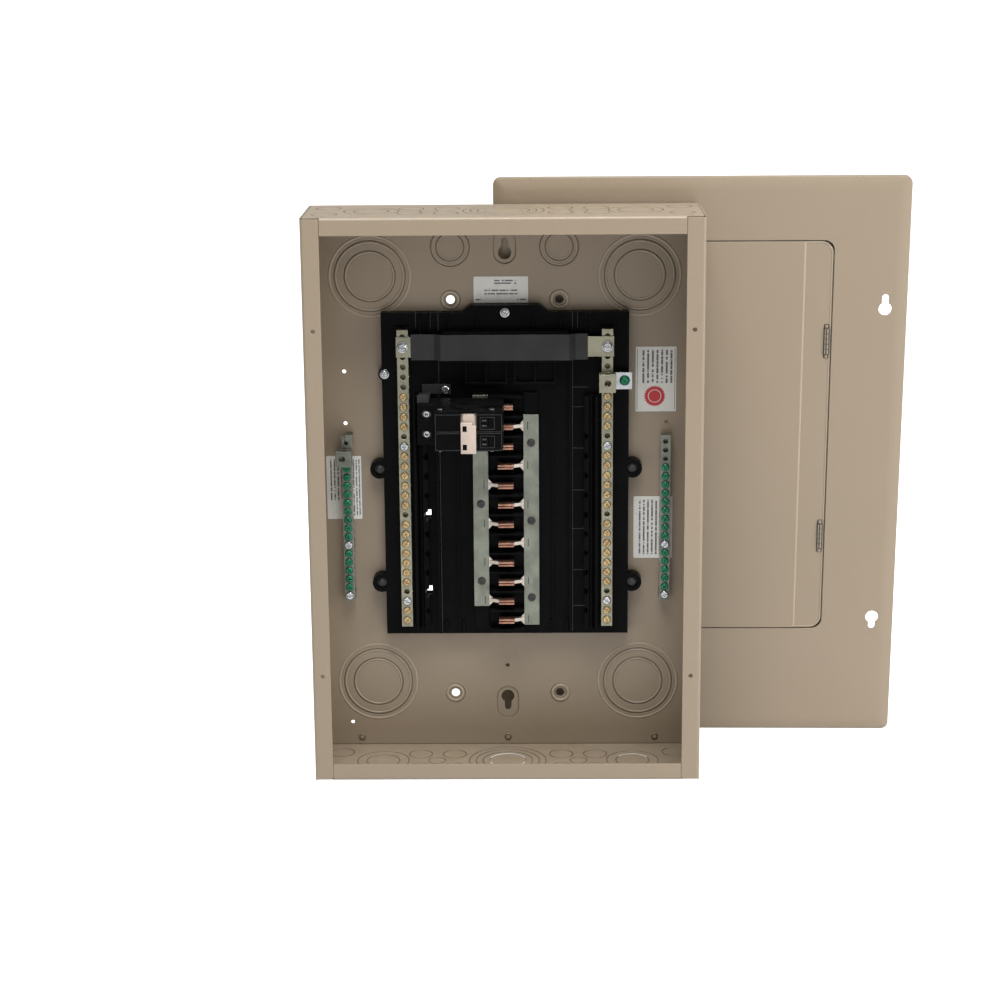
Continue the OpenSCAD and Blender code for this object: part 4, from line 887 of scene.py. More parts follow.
@dataclass(frozen=True)
class ScrewKind:
    """One kind of slot-and-cross screw, drawn with its head towards -Y at y = 0."""

    node: str
    slot: Slot
    head_height: float
    shank_radius: float
    turn: float = math.pi
    seed: int = 1
    washer: float = 0.0
    others: Optional[Slot] = None

    def template(self, low: Vector, high: Vector) -> bpy.types.Object:
        """Builds one screw in the box of a CAD screw.

        Args:
            low: Lowest corner of the CAD screw.
            high: Highest corner of the CAD screw.

        Returns:
            The screw with its head's back face at y = 0.
        """
        radius = (high.x - low.x) / 2
        shank = high.y - low.y - self.head_height
        bm = bmesh.new()
        crown = radius if not self.washer else radius * (1 - self.washer)
        profile = [(self.shank_radius * 0.7, shank), (self.shank_radius, shank - 0.5 * MM),
                   (self.shank_radius, 0.0), (radius, 0.0)]
        if self.washer:
            profile += [(radius, -0.22 * self.head_height), (crown, -0.34 * self.head_height)]
        profile += [(crown, -0.55 * self.head_height), (crown * 0.93, -0.83 * self.head_height),
                    (crown * 0.78, -self.head_height)]
        self.turn_profile(bm, profile)
        self.cut_drive(bm, crown * 0.78)
        return to_object(self.node + "_template", bm, 26.0)

    def turn_profile(self, bm: bmesh.types.BMesh, profile: Sequence[Point], sides: int = 24) -> None:
        """Turns a profile about Y and closes both ends.

        Args:
            bm: The bmesh to add to.
            profile: Radius and y of each ring.
            sides: Number of sides.
        """
        rings = []
        for radius, y in profile:
            angles = [2 * math.pi * side / sides for side in range(sides)]
            rings.append([bm.verts.new((radius * math.cos(a), y, radius * math.sin(a))) for a in angles])
        add_ring_surface(bm, rings)
        bm.faces.new(rings[0])
        bm.faces.new(rings[-1])

    def cut_drive(self, bm: bmesh.types.BMesh, reach: float) -> None:
        """Sinks the drive into the flat of the head.

        Args:
            bm: The screw.
            reach: Radius of the flat.
        """
        half, cross = reach * 0.17, reach * 0.55
        depth = self.head_height * 0.5
        cuts = [(2, half), (2, -half), (0, half), (0, -half), (2, cross), (2, -cross)]
        for axis, place in cuts:
            faces = self.flat_faces(bm)
            near = [item for face in faces for item in (*face.edges, *face.verts)]
            parts = list(dict.fromkeys([*faces, *near]))
            normal = [0.0, 0.0, 0.0]
            normal[axis] = 1.0
            point = [0.0, -self.head_height, 0.0]
            point[axis] = place
            bmesh.ops.bisect_plane(bm, geom=parts, plane_co=point, plane_no=normal, dist=1e-7)
        chosen = [face for face in self.flat_faces(bm) if self.in_drive(face, half, cross)]
        grown = bmesh.ops.extrude_face_region(bm, geom=chosen)
        moved = [item for item in grown["geom"] if isinstance(item, bmesh.types.BMVert)]
        bmesh.ops.translate(bm, verts=moved, vec=(0.0, depth, 0.0))
        bmesh.ops.delete(bm, geom=chosen, context="FACES_ONLY")

    def flat_faces(self, bm: bmesh.types.BMesh) -> list[bmesh.types.BMFace]:
        """Faces of the head's flat front."""
        front = -self.head_height
        return [f for f in bm.faces if all(abs(v.co.y - front) < 1e-6 for v in f.verts)]

    def in_drive(self, face: bmesh.types.BMFace, half: float, cross: float) -> bool:
        """Whether a face of the flat belongs to the drive."""
        middle = face.calc_center_median()
        return abs(middle.z) < half or (abs(middle.x) < half and abs(middle.z) < cross)


@dataclass
class Screws:
    """The screws inside the enclosure, each kind set on its CAD places."""

    paints: Paintbox
    scatter: Scatter
    kinds: tuple[ScrewKind, ...] = (
        ScrewKind("left_neutral_screws", Slot.BRASS, 1.6 * MM, 2.65 * MM, seed=3),
        ScrewKind("right_neutral_screws", Slot.BRASS, 1.6 * MM, 2.65 * MM, seed=4),
        ScrewKind("left_ground_screws", Slot.GREEN, 2.2 * MM, 2.35 * MM, seed=5),
        ScrewKind("right_ground_screws", Slot.GREEN, 2.2 * MM, 2.35 * MM, seed=6),
        ScrewKind("neutral_mount_screws", Slot.ZINC, 2.0 * MM, 2.6 * MM, seed=7),
        ScrewKind("ground_bar_screws", Slot.ZINC, 2.2 * MM, 2.3 * MM, seed=8),
        ScrewKind("strap_screws", Slot.ZINC, 3.0 * MM, 2.6 * MM, seed=9, washer=0.2),
        ScrewKind("pan_screws", Slot.ZINC, 2.0 * MM, 2.3 * MM, seed=10, washer=0.24, others=Slot.OXIDE),
        ScrewKind("bonding_screw", Slot.GREEN, 3.0 * MM, 2.4 * MM, seed=11, washer=0.18),
        ScrewKind("hold_down_screw", Slot.ZINC, 2.4 * MM, 2.2 * MM, seed=12),
        ScrewKind("bus_screws", Slot.OXIDE, 1.8 * MM, 1.8 * MM, seed=13),
    )

    def build(self) -> None:
        """Builds every kind. A kind with others keeps its own slot for the highest two."""
        for kind in self.kinds:
            boxes = islands(kind.node)
            low, high = boxes[0]
            head_back = [Vector(((a.x + b.x) / 2, a.y + kind.head_height, (a.z + b.z) / 2)) for a, b in boxes]
            groups = [("_turned", head_back, kind.slot)]
            if kind.others:
                groups = [("_turned", head_back[:2], kind.slot), ("_dark", head_back[2:], kind.others)]
            for ending, places, slot in groups:
                piece = self.scatter.run(kind.node + ending, places, kind.template(low, high),
                                         self.paints.slot(slot), kind.turn, kind.seed)
                settle(piece, "enclosure", [kind.node])


# ---- labels ------------------------------------------------------------------


@dataclass(frozen=True)
class Label:
    """A printed film on the back wall, in place of a CAD label."""

    node: str
    fields: tuple[dict[str, float], ...]
    upright: bool = True
    burst: Optional[tuple[float, float, float]] = None
    corner: float = 1.2 * MM

    def build(self, paints: Paintbox) -> None:
        """Builds the film, its print and its burst.

        Args:
            paints: Where the materials come from.
        """
        low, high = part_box(self.node)
        middle = ((low.x + high.x) / 2, (low.z + high.z) / 2)
        size = (high.x - low.x, high.z - low.z)
        bm = bmesh.new()
        uv = bm.loops.layers.uv.new("print")
        add_prism(bm, round_rect(middle, size, self.corner, 4), low.y, high.y)
        if self.burst:
            x, z, radius = self.burst
            centre = (low.x + x * size[0], low.z + z * size[1])
            add_prism(bm, self.star(centre, radius), low.y - 0.06 * MM, low.y - 0.01 * MM, material=1)
            ring = self.star(centre, radius * 0.62, 0.0)
            add_prism(bm, ring, low.y - 0.09 * MM, low.y - 0.07 * MM)
            inner = self.star(centre, radius * 0.56, 0.0)
            add_prism(bm, inner, low.y - 0.12 * MM, low.y - 0.10 * MM, material=1)
        for face in bm.faces:
            for loop in face.loops:
                u = (loop.vert.co.x - low.x) / size[0]
                v = (loop.vert.co.z - low.z) / size[1]
                loop[uv].uv = (u, v) if self.upright else (v, 1 - u)
        piece = to_object(self.node + "_printed", bm)
        base = FINISHES[Slot.PAPER]
        film = PrintedFinish(self.node + "_film", base.colour, base.cloud, base.edge, rough=base.rough,
                             edge_radius=base.edge_radius, peel_depth=base.peel_depth,
                             dust_share=base.dust_share, fields=self.fields)
        piece.data.materials.append(paints.get(film))
        piece.data.materials.append(paints.get(RED_INK))
        settle(piece, "enclosure", [self.node])

    def star(self, centre: Point, radius: float, spikes: float = 0.12, count: int = 26) -> list[Point]:
        """Outline of a burst, or of a disc when the spikes are 0.

        Args:
            centre: Its middle.
            radius: Its outer radius.
            spikes: Depth of the spikes, as a share of the radius.
            count: Number of spikes.

        Returns:
            Its points.
        """
        points = []
        for step in range(2 * count):
            reach = radius * (1 - spikes * (step % 2))
            angle = math.pi * step / count
            points.append((centre[0] + reach * math.cos(angle), centre[1] + reach * math.sin(angle)))
        return points


LABELS = (
    Label("rating_label", (
        {"Rows": 2.0, "Left": 0.38, "Right": 0.78, "Low": 0.72, "High": 0.92, "Words": 9.0, "Weight": 0.5},
        {"Rows": 2.0, "Left": 0.2, "Right": 0.8, "Low": 0.32, "High": 0.58, "Words": 26.0, "Weight": 0.4},
        {"Rows": 1.0, "Left": 0.04, "Right": 0.14, "Low": 0.1, "High": 0.16, "Words": 20.0, "Weight": 0.9},
        {"Rows": 1.0, "Left": 0.8, "Right": 0.96, "Low": 0.1, "High": 0.16, "Words": 20.0, "Weight": 0.9},
    )),
    Label("warning_label", (
        {"Rows": 7.0, "Left": 0.44, "Right": 0.95, "Low": 0.1, "High": 0.9, "Words": 30.0, "Weight": 0.42},
        {"Rows": 1.0, "Left": 0.03, "Right": 0.97, "Low": 0.03, "High": 0.045, "Words": 0.01, "Weight": 0.9},
        {"Rows": 1.0, "Left": 0.03, "Right": 0.97, "Low": 0.955, "High": 0.97, "Words": 0.01, "Weight": 0.9},
    ), upright=False, burst=(0.47, 0.24, 10.2 * MM)),
    Label("left_wiring_label", (
        {"Rows": 4.0, "Left": 0.3, "Right": 0.95, "Low": 0.55, "High": 0.95, "Words": 34.0, "Weight": 0.4},
        {"Rows": 5.0, "Left": 0.06, "Right": 0.95, "Low": 0.05, "High": 0.45, "Words": 34.0, "Weight": 0.4},
    ), upright=False),
    Label("right_wiring_label", (
        {"Rows": 8.0, "Left": 0.06, "Right": 0.94, "Low": 0.08, "High": 0.92, "Words": 34.0, "Weight": 0.42},
    ), upright=False),
)


# ---- wall relief -------------------------------------------------------------


@dataclass(frozen=True)
class Ridge:
    """A round ridge pressed into the back wall, seen from the front."""

    x: float
    z: float
    radius: float
    width: float = 1.7 * MM
    rise: float = 0.4 * MM

    def add(self, bm: bmesh.types.BMesh, wall: float, sides: int = 72) -> None:
        """Adds the ridge on the wall.

        Args:
            bm: The bmesh to add to.
            wall: Y of the wall's inner face.
            sides: Number of segments.
        """
        half = self.width / 2
        foot = (half, 0.02 * MM)
        profile = ((-foot[0], foot[1]), (-half * 0.45, -self.rise), (half * 0.45, -self.rise), foot)
        rings = []
        for offset, y in profile:
            reach = self.radius + offset
            angles = [2 * math.pi * side / sides for side in range(sides)]
            rings.append([bm.verts.new((self.x + reach * math.cos(a), wall + y, self.z + reach * math.sin(a)))
                          for a in angles])
        add_ring_surface(bm, [*rings, rings[0]])


@dataclass(frozen=True)
class WallRelief:
    """Knockout ridges, dimples and weld rings of the back wall, in the lighter crest enamel that paints a
    highlight on them.
    """

    wall: float = 46.5 * MM
    big_x: float = 127.0 * MM
    big_z: tuple[float, float] = (466.8 * MM, 66.6 * MM)
    big_radii: tuple[float, ...] = (22.6 * MM, 31.9 * MM)
    small_x: float = 51.2 * MM
    small_z: float = 493.9 * MM
    small_radii: tuple[float, ...] = (11.7 * MM, 16.7 * MM)
    hole_x: float = 51.5 * MM
    hole_z: tuple[float, float] = (444.0 * MM, 54.5 * MM)
    welds: tuple[Point, ...] = ((-144.0 * MM, 9.2 * MM), (0.0, 9.0 * MM), (144.0 * MM, 9.0 * MM))

    def build(self, paints: Paintbox) -> None:
        """Builds all ridges as one piece.

        Args:
            paints: Where the materials come from.
        """
        ridges = []
        for x in (-self.big_x, self.big_x):
            for z in self.big_z:
                ridges += [Ridge(x, z, radius) for radius in self.big_radii]
                ridges.append(Ridge(x, z, 38.0 * MM, 2.6 * MM, 0.3 * MM))
        for x in (-self.small_x, self.small_x):
            ridges += [Ridge(x, self.small_z, radius, 1.2 * MM, 0.3 * MM) for radius in self.small_radii]
        for x in (-self.hole_x, self.hole_x):
            ridges += [Ridge(x, z, 7.6 * MM, 3.2 * MM, 0.9 * MM) for z in self.hole_z]
        ridges += [Ridge(x, z, 2.5 * MM, 1.6 * MM, 0.9 * MM) for x, z in self.welds]
        bm = bmesh.new()
        for ridge in ridges:
            ridge.add(bm, self.wall)
        piece = to_object("wall_relief", bm, 60.0)
        # Lighter crest enamel: a painted highlight on the ridges.
        piece.data.materials.append(paints.get(CREST_HIGHLIGHT_ENAMEL))
        settle(piece, "enclosure")


@dataclass(frozen=True)
class ShearedEdgeHighlights:
    """Bare sheared edges of the knockouts in the lower end wall, near-white as a painted highlight for the light
    through the slits.
    """

    inner: float = 1.5 * MM
    shear: float = 1.0 * MM
    slit_radius: float = 17.5 * MM
    side_x: float = 120.5 * MM
    side_radius: float = 16.0 * MM

    def build(self, paints: Paintbox) -> None:
        """Builds the painted-highlight edges inside the lower end wall.

        Args:
            paints: Where the materials come from.
        """
        bm = bmesh.new()
        spans = ((0.0, self.slit_radius, 0.10, 0.90), (0.0, self.slit_radius, 1.10, 1.90),
                 (self.side_x, self.side_radius, 0.15, 0.80))
        for x, radius, start, end in spans:
            self.add_arc(bm, x, radius, start * math.pi, end * math.pi)
        piece = to_object("sheared_edges", bm, 60.0)
        # Near-white finish: painted highlight for the light through the slits.
        piece.data.materials.append(paints.get(SHEARED_EDGE_HIGHLIGHT))
        settle(piece, "enclosure")

    def add_arc(self, bm: bmesh.types.BMesh, x: float, radius: float, start: float, end: float) -> None:
        """Adds one raised arc on the wall's inner face.

        Args:
            bm: The bmesh to add to.
            x: Its centre's X.
            radius: Its radius.
            start: Angle where it starts.
            end: Angle where it ends.
        """
        half, rise, count = self.shear / 2, 0.5 * MM, 36
        sections = []
        for step in range(count + 1):
            angle = start + (end - start) * step / count
            ring = []
            for offset, level in ((-half, -0.05 * MM), (-half, rise), (half, rise), (half, -0.05 * MM)):
                reach = radius + offset
                ring.append(bm.verts.new((x + reach * math.cos(angle), reach * math.sin(angle),
                                          self.inner + level)))
            sections.append(ring)
        add_ring_surface(bm, sections)
        bm.faces.new(sections[0])
        bm.faces.new(sections[-1])


@dataclass(frozen=True)
class PanLines:
    """Fine grey strips on the black pan's moulded crests, a painted highlight where they catch light."""

    face: float = 34.5 * MM
    low: float = 121.5 * MM
    high: float = 438.0 * MM
    strap: Point = (389.0 * MM, 417.0 * MM)
    tall: tuple[float, ...] = (-62.9 * MM, 63.1 * MM)
    short: tuple[float, ...] = (-84.0 * MM, -70.0 * MM, 79.5 * MM, 68.0 * MM)
    cells: tuple[float, ...] = (
        362.0 * MM, 343.0 * MM, 303.0 * MM, 262.0 * MM, 224.0 * MM, 183.0 * MM, 147.0 * MM,
    )
    cell_span: Point = (63.6 * MM, 79.0 * MM)
    inset: float = 2.0 * MM
    width: float = 0.45 * MM
    rise: float = 0.25 * MM

    def build(self, paints: Paintbox) -> None:
        """Builds the crests as one piece.

        Args:
            paints: Where the materials come from.
        """
        bm = bmesh.new()
        for x in self.tall:
            self.add_line(bm, (x, self.low), (x + self.width, self.strap[0]))
            self.add_line(bm, (x, self.strap[1]), (x + self.width, self.high))
        for x in self.short:
            self.add_line(bm, (x, self.strap[1] + self.inset), (x + self.width, self.high - self.inset))
        for z in self.cells:
            self.add_line(bm, (self.cell_span[0], z), (self.cell_span[1], z + self.width))
        piece = to_object("pan_lines", bm)
        # Grey strips: painted highlight on the crests.
        piece.data.materials.append(paints.get(MOULDED_HIGHLIGHT))
        settle(piece, "enclosure")

    def add_line(self, bm: bmesh.types.BMesh, low: Point, high: Point) -> None:
        """Adds one crest.

        Args:
            bm: The bmesh to add to.
            low: Its lower left corner in X and Z.
            high: Its upper right corner in X and Z.
        """
        add_block(bm, (low[0], self.face - self.rise, low[1]), (high[0], self.face + 0.1 * MM, high[1]))


# ---- stabs -------------------------------------------------------------------


@dataclass(frozen=True)
class Stabs:
    """Two-leaf blades, each on a wide root at its bus bar."""

    node: str
    side: int
    blade: float = 7.5 * MM
    gap: float = 0.9 * MM
    front: float = 17.0 * MM
    bus_front: float = 26.5 * MM
    bus_back: float = 29.5 * MM
    leaf_half: float = 2.1 * MM
    arm_half: float = 1.6 * MM
    root_half: float = 5.6 * MM
    neck_half: float = 1.8 * MM
    neck_in: float = 3.6 * MM

    def build(self, paints: Paintbox) -> None:
        """Builds all stabs of one bus bar.

        Args:
            paints: Where the materials come from.
        """
        bm = bmesh.new()
        for low, high in islands(self.node):
            self.add_stab(bm, (low.z + high.z) / 2, abs(low.x if self.side < 0 else high.x))
        piece = to_object(self.node + "_forked", bm)
        piece.data.materials.append(paints.slot(Slot.COPPER))
        settle(piece, "enclosure", [self.node])

    def add_stab(self, bm: bmesh.types.BMesh, z: float, reach: float) -> None:
        """Adds one stab.

        Args:
            bm: The bmesh to add to.
            z: Height of its middle.
            reach: Distance from the middle plane to the bus bar's edge.
        """
        for turn in (-1, 1):
            low, high = sorted((z + turn * self.gap / 2, z + turn * self.leaf_half))
            add_block(bm, (-self.blade, self.front, low), (self.blade * 0.96, self.bus_back, high), 0.3 * MM)
        add_block(bm, (-self.blade + 0.4 * MM, self.front + 2.2 * MM, z - self.gap),
                  (self.blade * 0.9, self.bus_back - 0.2 * MM, z + self.gap))
        s = self.side
        inner = s * (self.blade - 1.0 * MM)
        add_prism(bm, [(inner, self.bus_back), (s * reach, self.bus_back), (s * reach, self.bus_front),
                       (inner, self.front + 4.0 * MM)], z - self.arm_half, z + self.arm_half, "z")
        neck = s * (reach - self.neck_in)
        root = [(s * reach, z - self.root_half), (s * reach, z + self.root_half),
                (neck, z + self.neck_half), (neck, z - self.neck_half)]
        add_prism(bm, root, self.bus_front - 0.2 * MM, self.bus_back)


@dataclass(frozen=True)
class BusMarks:
    """Short dark press marks on the bus bars, one beside each root."""

    front: float = 26.5 * MM
    inset: float = 4.0 * MM
    length: float = 7.6 * MM
    width: float = 0.8 * MM

    def build(self, paints: Paintbox) -> None:
        """Builds the marks of both bars as one piece.

        Args:
            paints: Where the materials come from.
        """
        bm = bmesh.new()
        for node, side in (("left_stabs", -1), ("right_stabs", 1)):
            for low, high in islands(node):
                edge = low.x if side < 0 else high.x
                x, z = edge + side * self.inset, (low.z + high.z) / 2
                add_block(bm, (x - self.width / 2, self.front - 0.04 * MM, z - self.length / 2),
                          (x + self.width / 2, self.front + 0.1 * MM, z + self.length / 2))
        piece = to_object("bus_marks", bm)
        piece.data.materials.append(paints.slot(Slot.OXIDE))
        settle(piece, "enclosure")


# ---- breaker -----------------------------------------------------------------


@dataclass(frozen=True)
class BreakerFace:
    """Grey lines and bars on the breaker's face, painted highlights along its moulded edges."""

    face: float = -40.2 * MM
    left: float = -63.5 * MM
    right: float = -2.4 * MM
    poles: tuple[Point, ...] = ((335.6 * MM, 351.9 * MM), (318.3 * MM, 334.4 * MM))
    line: float = 0.35 * MM
    window: Point = (-22.4 * MM, -9.0 * MM)
    window_in: float = 2.4 * MM
    bar: Point = (-20.6 * MM, -16.4 * MM)
    bar_in: Point = (5.0 * MM, 6.4 * MM)
    bar_height: float = 1.6 * MM
    bar_rise: float = 0.3 * MM

    def build(self, paints: Paintbox) -> None:
        """Builds both poles' frame lines and windows.

        Args:
            paints: Where the materials come from.
        """
        bm = bmesh.new()
        for low, high in self.poles:
            self.add_frame(bm, (self.left, low), (self.right, high))
            self.add_frame(bm, (self.window[0], low + self.window_in),
                           (self.window[1], high - self.window_in))
            for z in (low + self.bar_in[0], high - self.bar_in[1]):
                add_block(bm, (self.bar[0], self.face - self.bar_rise, z),
                          (self.bar[1], self.face, z + self.bar_height))
        piece = to_object("pole_lines", bm)
        # Grey finish: painted highlights along the moulded edges.
        piece.data.materials.append(paints.get(MOULDED_HIGHLIGHT))
        settle(piece, "breaker")

    def add_frame(self, bm: bmesh.types.BMesh, low: Point, high: Point) -> None:
        """Adds the four lines of one frame.

        Args:
            bm: The bmesh to add to.
            low: Its lower left corner in X and Z.
            high: Its upper right corner in X and Z.
        """
        t, front = self.line, self.face - 0.12 * MM
        for a, b in (((low[0], low[1]), (high[0], low[1] + t)), ((low[0], high[1] - t), (high[0], high[1])),
                     ((low[0], low[1] + t), (low[0] + t, high[1] - t)),
                     ((high[0] - t, low[1] + t), (high[0], high[1] - t))):
            add_block(bm, (a[0], front, a[1]), (b[0], self.face, b[1]))


@dataclass(frozen=True)
class Handle:
    """The tie handle, with a notched upper edge and two dark windows."""

    x: float = -32.9 * MM
    half: float = 7.0 * MM
    low: float = 316.9 * MM
    high: float = 345.8 * MM
    front: float = -48.8 * MM
    back: float = -43.4 * MM
    pivot_y: float = -32.2 * MM
    window_z: tuple[float, ...] = (340.4 * MM, 323.2 * MM)
    drums: tuple[Point, ...] = ((338.5 * MM, 352.6 * MM), (319.8 * MM, 333.4 * MM))
    drum_radius: float = 9.0 * MM
    notch: Point = (3.4 * MM, 2.6 * MM)
    window_x: Point = (1.8 * MM, 5.6 * MM)
    window_half: float = 2.6 * MM

    def build(self, paints: Paintbox) -> None:
        """Builds the handle.

        Args:
            paints: Where the materials come from.
        """
        bm = bmesh.new()
        x0, x1 = self.x - self.half, self.x + self.half
        add_block(bm, (x0, self.front, self.low), (x1, self.back, self.high - self.notch[1]), 0.7 * MM)
        add_block(bm, (x0, self.front + 0.15 * MM, self.low + 1.0 * MM),
                  (x1 - self.notch[0], self.back, self.high), 0.5 * MM)
        for low, high in self.drums:
            angles = [2 * math.pi * side / 40 for side in range(40)]
            circle = [(self.x + self.drum_radius * math.cos(a), self.pivot_y + self.drum_radius * math.sin(a))
                      for a in angles]
            add_prism(bm, circle, low, high, "z")
            add_block(bm, (x0 + 2.2 * MM, self.back - 0.5 * MM, low + 0.5 * MM),
                      (x1 - 2.2 * MM, self.pivot_y, high - 0.5 * MM))
        for z in self.window_z:
            before = set(bm.faces)
            add_block(bm, (x0 + self.window_x[0], self.front - 0.1 * MM, z - self.window_half),
                      (x0 + self.window_x[1], self.front + 0.4 * MM, z + self.window_half), 0.1 * MM)
            for face in set(bm.faces) - before:
                face.material_index = 1
        piece = to_object("tie_handle", bm)
        piece.data.materials.append(paints.slot(Slot.BEIGE))
        piece.data.materials.append(paints.slot(Slot.BLACK))
        settle(piece, "handle", ["breaker_handle"])


# ---- cover -------------------------------------------------------------------


@dataclass
class CoverFrame:
    """The leaning cover's own frame: X across, Y back, Z up its face."""

    matrix: Matrix = field(default_factory=Matrix)
    size: Vector = field(default_factory=Vector)

    @classmethod
    def from_frame(cls) -> "CoverFrame":
        """Works the frame out from the door's hinge axis and the trim plate.

        Returns:
            The cover's frame, with its origin at the middle of the lower edge.
        """
        joint = next(j for j in frame["joints"] if j["name"] == "door_hinge")
        axis = Vector(joint["axis"])
        lean = math.acos(min(1.0, axis.z))
        turn = math.atan2(axis.x, -axis.y)
        spin = Matrix.Rotation(turn, 4, "Z") @ Matrix.Rotation(lean, 4, "X")
        back = spin.inverted()
        points = [back @ vert.co for vert in frame["nodes"]["trim_plate"].data.vertices]
        low = Vector([min(p[axis_no] for p in points) for axis_no in range(3)])
        high = Vector([max(p[axis_no] for p in points) for axis_no in range(3)])
        face = min(p.y for p in points if p.z < low.z + 20.0 * MM)
        origin = Vector(((low.x + high.x) / 2, face, low.z))
        return cls(spin @ Matrix.Translation(origin), high - low)


@dataclass(frozen=True)
class TrimFace:
    """The trim plate, with its outer border bent gently back."""

    border: float = 12.0 * MM
    drop: float = 2.4 * MM
    steps: int = 5

    def build(self, cover: CoverFrame, paints: Paintbox) -> None:
        """Bends a merged copy of the CAD trim plate.

        Args:
            cover: The leaning cover's own frame.
            paints: Where the materials come from.
        """
        bm = bmesh.new()
        bm.from_mesh(frame["nodes"]["trim_plate"].data)
        bmesh.ops.remove_doubles(bm, verts=bm.verts, dist=1e-6)
        bm.transform(cover.matrix.inverted())
        half, top = cover.size.x / 2, cover.size.z
        for step in range(1, self.steps + 1):
            inset = self.border * step / self.steps
            for place, normal in (((half - inset, 0, 0), (1, 0, 0)), ((inset - half, 0, 0), (1, 0, 0)),
                                  ((0, 0, inset), (0, 0, 1)), ((0, 0, top - inset), (0, 0, 1))):
                geom = [*bm.verts, *bm.edges, *bm.faces]
                bmesh.ops.bisect_plane(bm, geom=geom, plane_co=place, plane_no=normal, dist=1e-7)
        for vert in bm.verts:
            near = min(half - abs(vert.co.x), vert.co.z, top - vert.co.z)
            if near < self.border:
                vert.co.y += self.drop * (1.0 - max(near, 0.0) / self.border) ** 1.6
        bm.transform(cover.matrix)
        piece = to_object("trim_bent", bm, 24.0)
        piece.data.materials.append(paints.slot(Slot.TAN))
        settle(piece, "cover", ["trim_plate"])


@dataclass(frozen=True)
class DoorTrim:
    """The door's rolled bead, its crease and the hem that closes its gap, in the lighter crest enamel that paints
    a highlight on them and light where the gap's shade would fall.
    """

    middle: Point = (-0.2 * MM, 303.75 * MM)
    size: Point = (248.0 * MM, 387.7 * MM)
    corner: float = 12.0 * MM
    face: float = 0.4 * MM
    crease_in: float = 27.0 * MM
    crease_width: float = 3.4 * MM
    crease_rise: float = 0.8 * MM
    bead: float = 1.4 * MM
    bead_start: float = -1.6 * MM
    bead_levels: tuple[float, ...] = (0.02 * MM, -0.4 * MM, 0.02 * MM)
    hem: float = 0.8 * MM
    hem_start: float = 0.12 * MM
    hem_levels: tuple[float, ...] = (1.3 * MM, 0.9 * MM, 1.3 * MM)
    hinge_z: tuple[float, ...] = (205.4 * MM, 401.1 * MM)
    hinge_half: float = 13.2 * MM

    def build(self, cover: CoverFrame, paints: Paintbox) -> None:
        """Builds the trim as one piece on the door.

        Args:
            cover: The leaning cover's own frame.
            paints: Where the materials come from.
        """
        bm = bmesh.new()
        self.add_loop(bm, self.bead_start, self.bead_levels, self.bead)
        self.add_loop(bm, self.hem_start, self.hem_levels, self.hem)
        x = self.middle[0] + self.size[0] / 2 - self.crease_in
        low, high = (self.middle[1] + sign * (self.size[1] / 2 - 0.6 * MM) for sign in (-1, 1))
        half, crest = self.crease_width / 2, self.face - self.crease_rise
        profile = [(x - half, self.face + 0.02 * MM), (x - 0.3 * half, crest),
                   (x + 0.3 * half, crest), (x + half, self.face + 0.02 * MM)]
        add_prism(bm, profile, low, high, "z")
        for z in self.hinge_z:
            self.add_hinge(bm, z)
        bm.transform(cover.matrix)
        piece = to_object("door_trim", bm, 40.0)
        # Lighter crest enamel: painted highlight on the bead, crease and hinge leaves, and on the hem in the gap.
        piece.data.materials.append(paints.get(CREST_HIGHLIGHT_ENAMEL))
        # Latch brown on the hinge blocks: painted shade in the hinge slots.
        piece.data.materials.append(paints.slot(Slot.BROWN))
        settle(piece, "door")

    def add_hinge(self, bm: bmesh.types.BMesh, z: float) -> None:
        """Adds one hinge's dark block, a painted shade of its slot, and its leaf.

        Args:
            bm: The bmesh to add to.
            z: Height of its middle.
        """
        edge, low, high = self.middle[0] + self.size[0] / 2, z - self.hinge_half, z + self.hinge_half
        # Dark brown block: painted shade in the hinge slot.
        before = set(bm.faces)
        add_block(bm, (edge - 6.2 * MM, self.face - 1.3 * MM, low),
                  (edge - 0.9 * MM, self.face + 0.2 * MM, high))
        for face in set(bm.faces) - before:
            face.material_index = 1
        for x, width in ((edge - 5.6 * MM, 0.6 * MM), (edge - 3.4 * MM, 1.1 * MM)):
            for step in range(5):
                start = low + 1.0 * MM + step * 5.0 * MM
                add_block(bm, (x, self.face - 1.5 * MM, start),
                          (x + width, self.face, start + 4.2 * MM), 0.15 * MM)

    def add_loop(self, bm: bmesh.types.BMesh, start: float, levels: Sequence[float], width: float) -> None:
        """Adds a closed strip that follows the door's outline.

        Args:
            bm: The bmesh to add to.
            start: How far outside the door's outline it starts.
            levels: How far its inner edge, middle and outer edge lie behind the door's face.
            width: Its width.
        """
        rings = []
        for place, level in enumerate(levels):
            grow = start + width * place / (len(levels) - 1)
            size = (self.size[0] + 2 * grow, self.size[1] + 2 * grow)
            outline = round_rect(self.middle, size, self.corner + grow, 10)
            rings.append([bm.verts.new((a, self.face + level, b)) for a, b in outline])
        grow = start + width / 2
        size = (self.size[0] + 2 * grow, self.size[1] + 2 * grow)
        back = round_rect(self.middle, size, self.corner + grow, 10)
        rings.append([bm.verts.new((a, self.face + max(levels) + 0.3 * MM, b)) for a, b in back])
        add_ring_surface(bm, [*rings, rings[0]])


# ---- studio ------------------------------------------------------------------


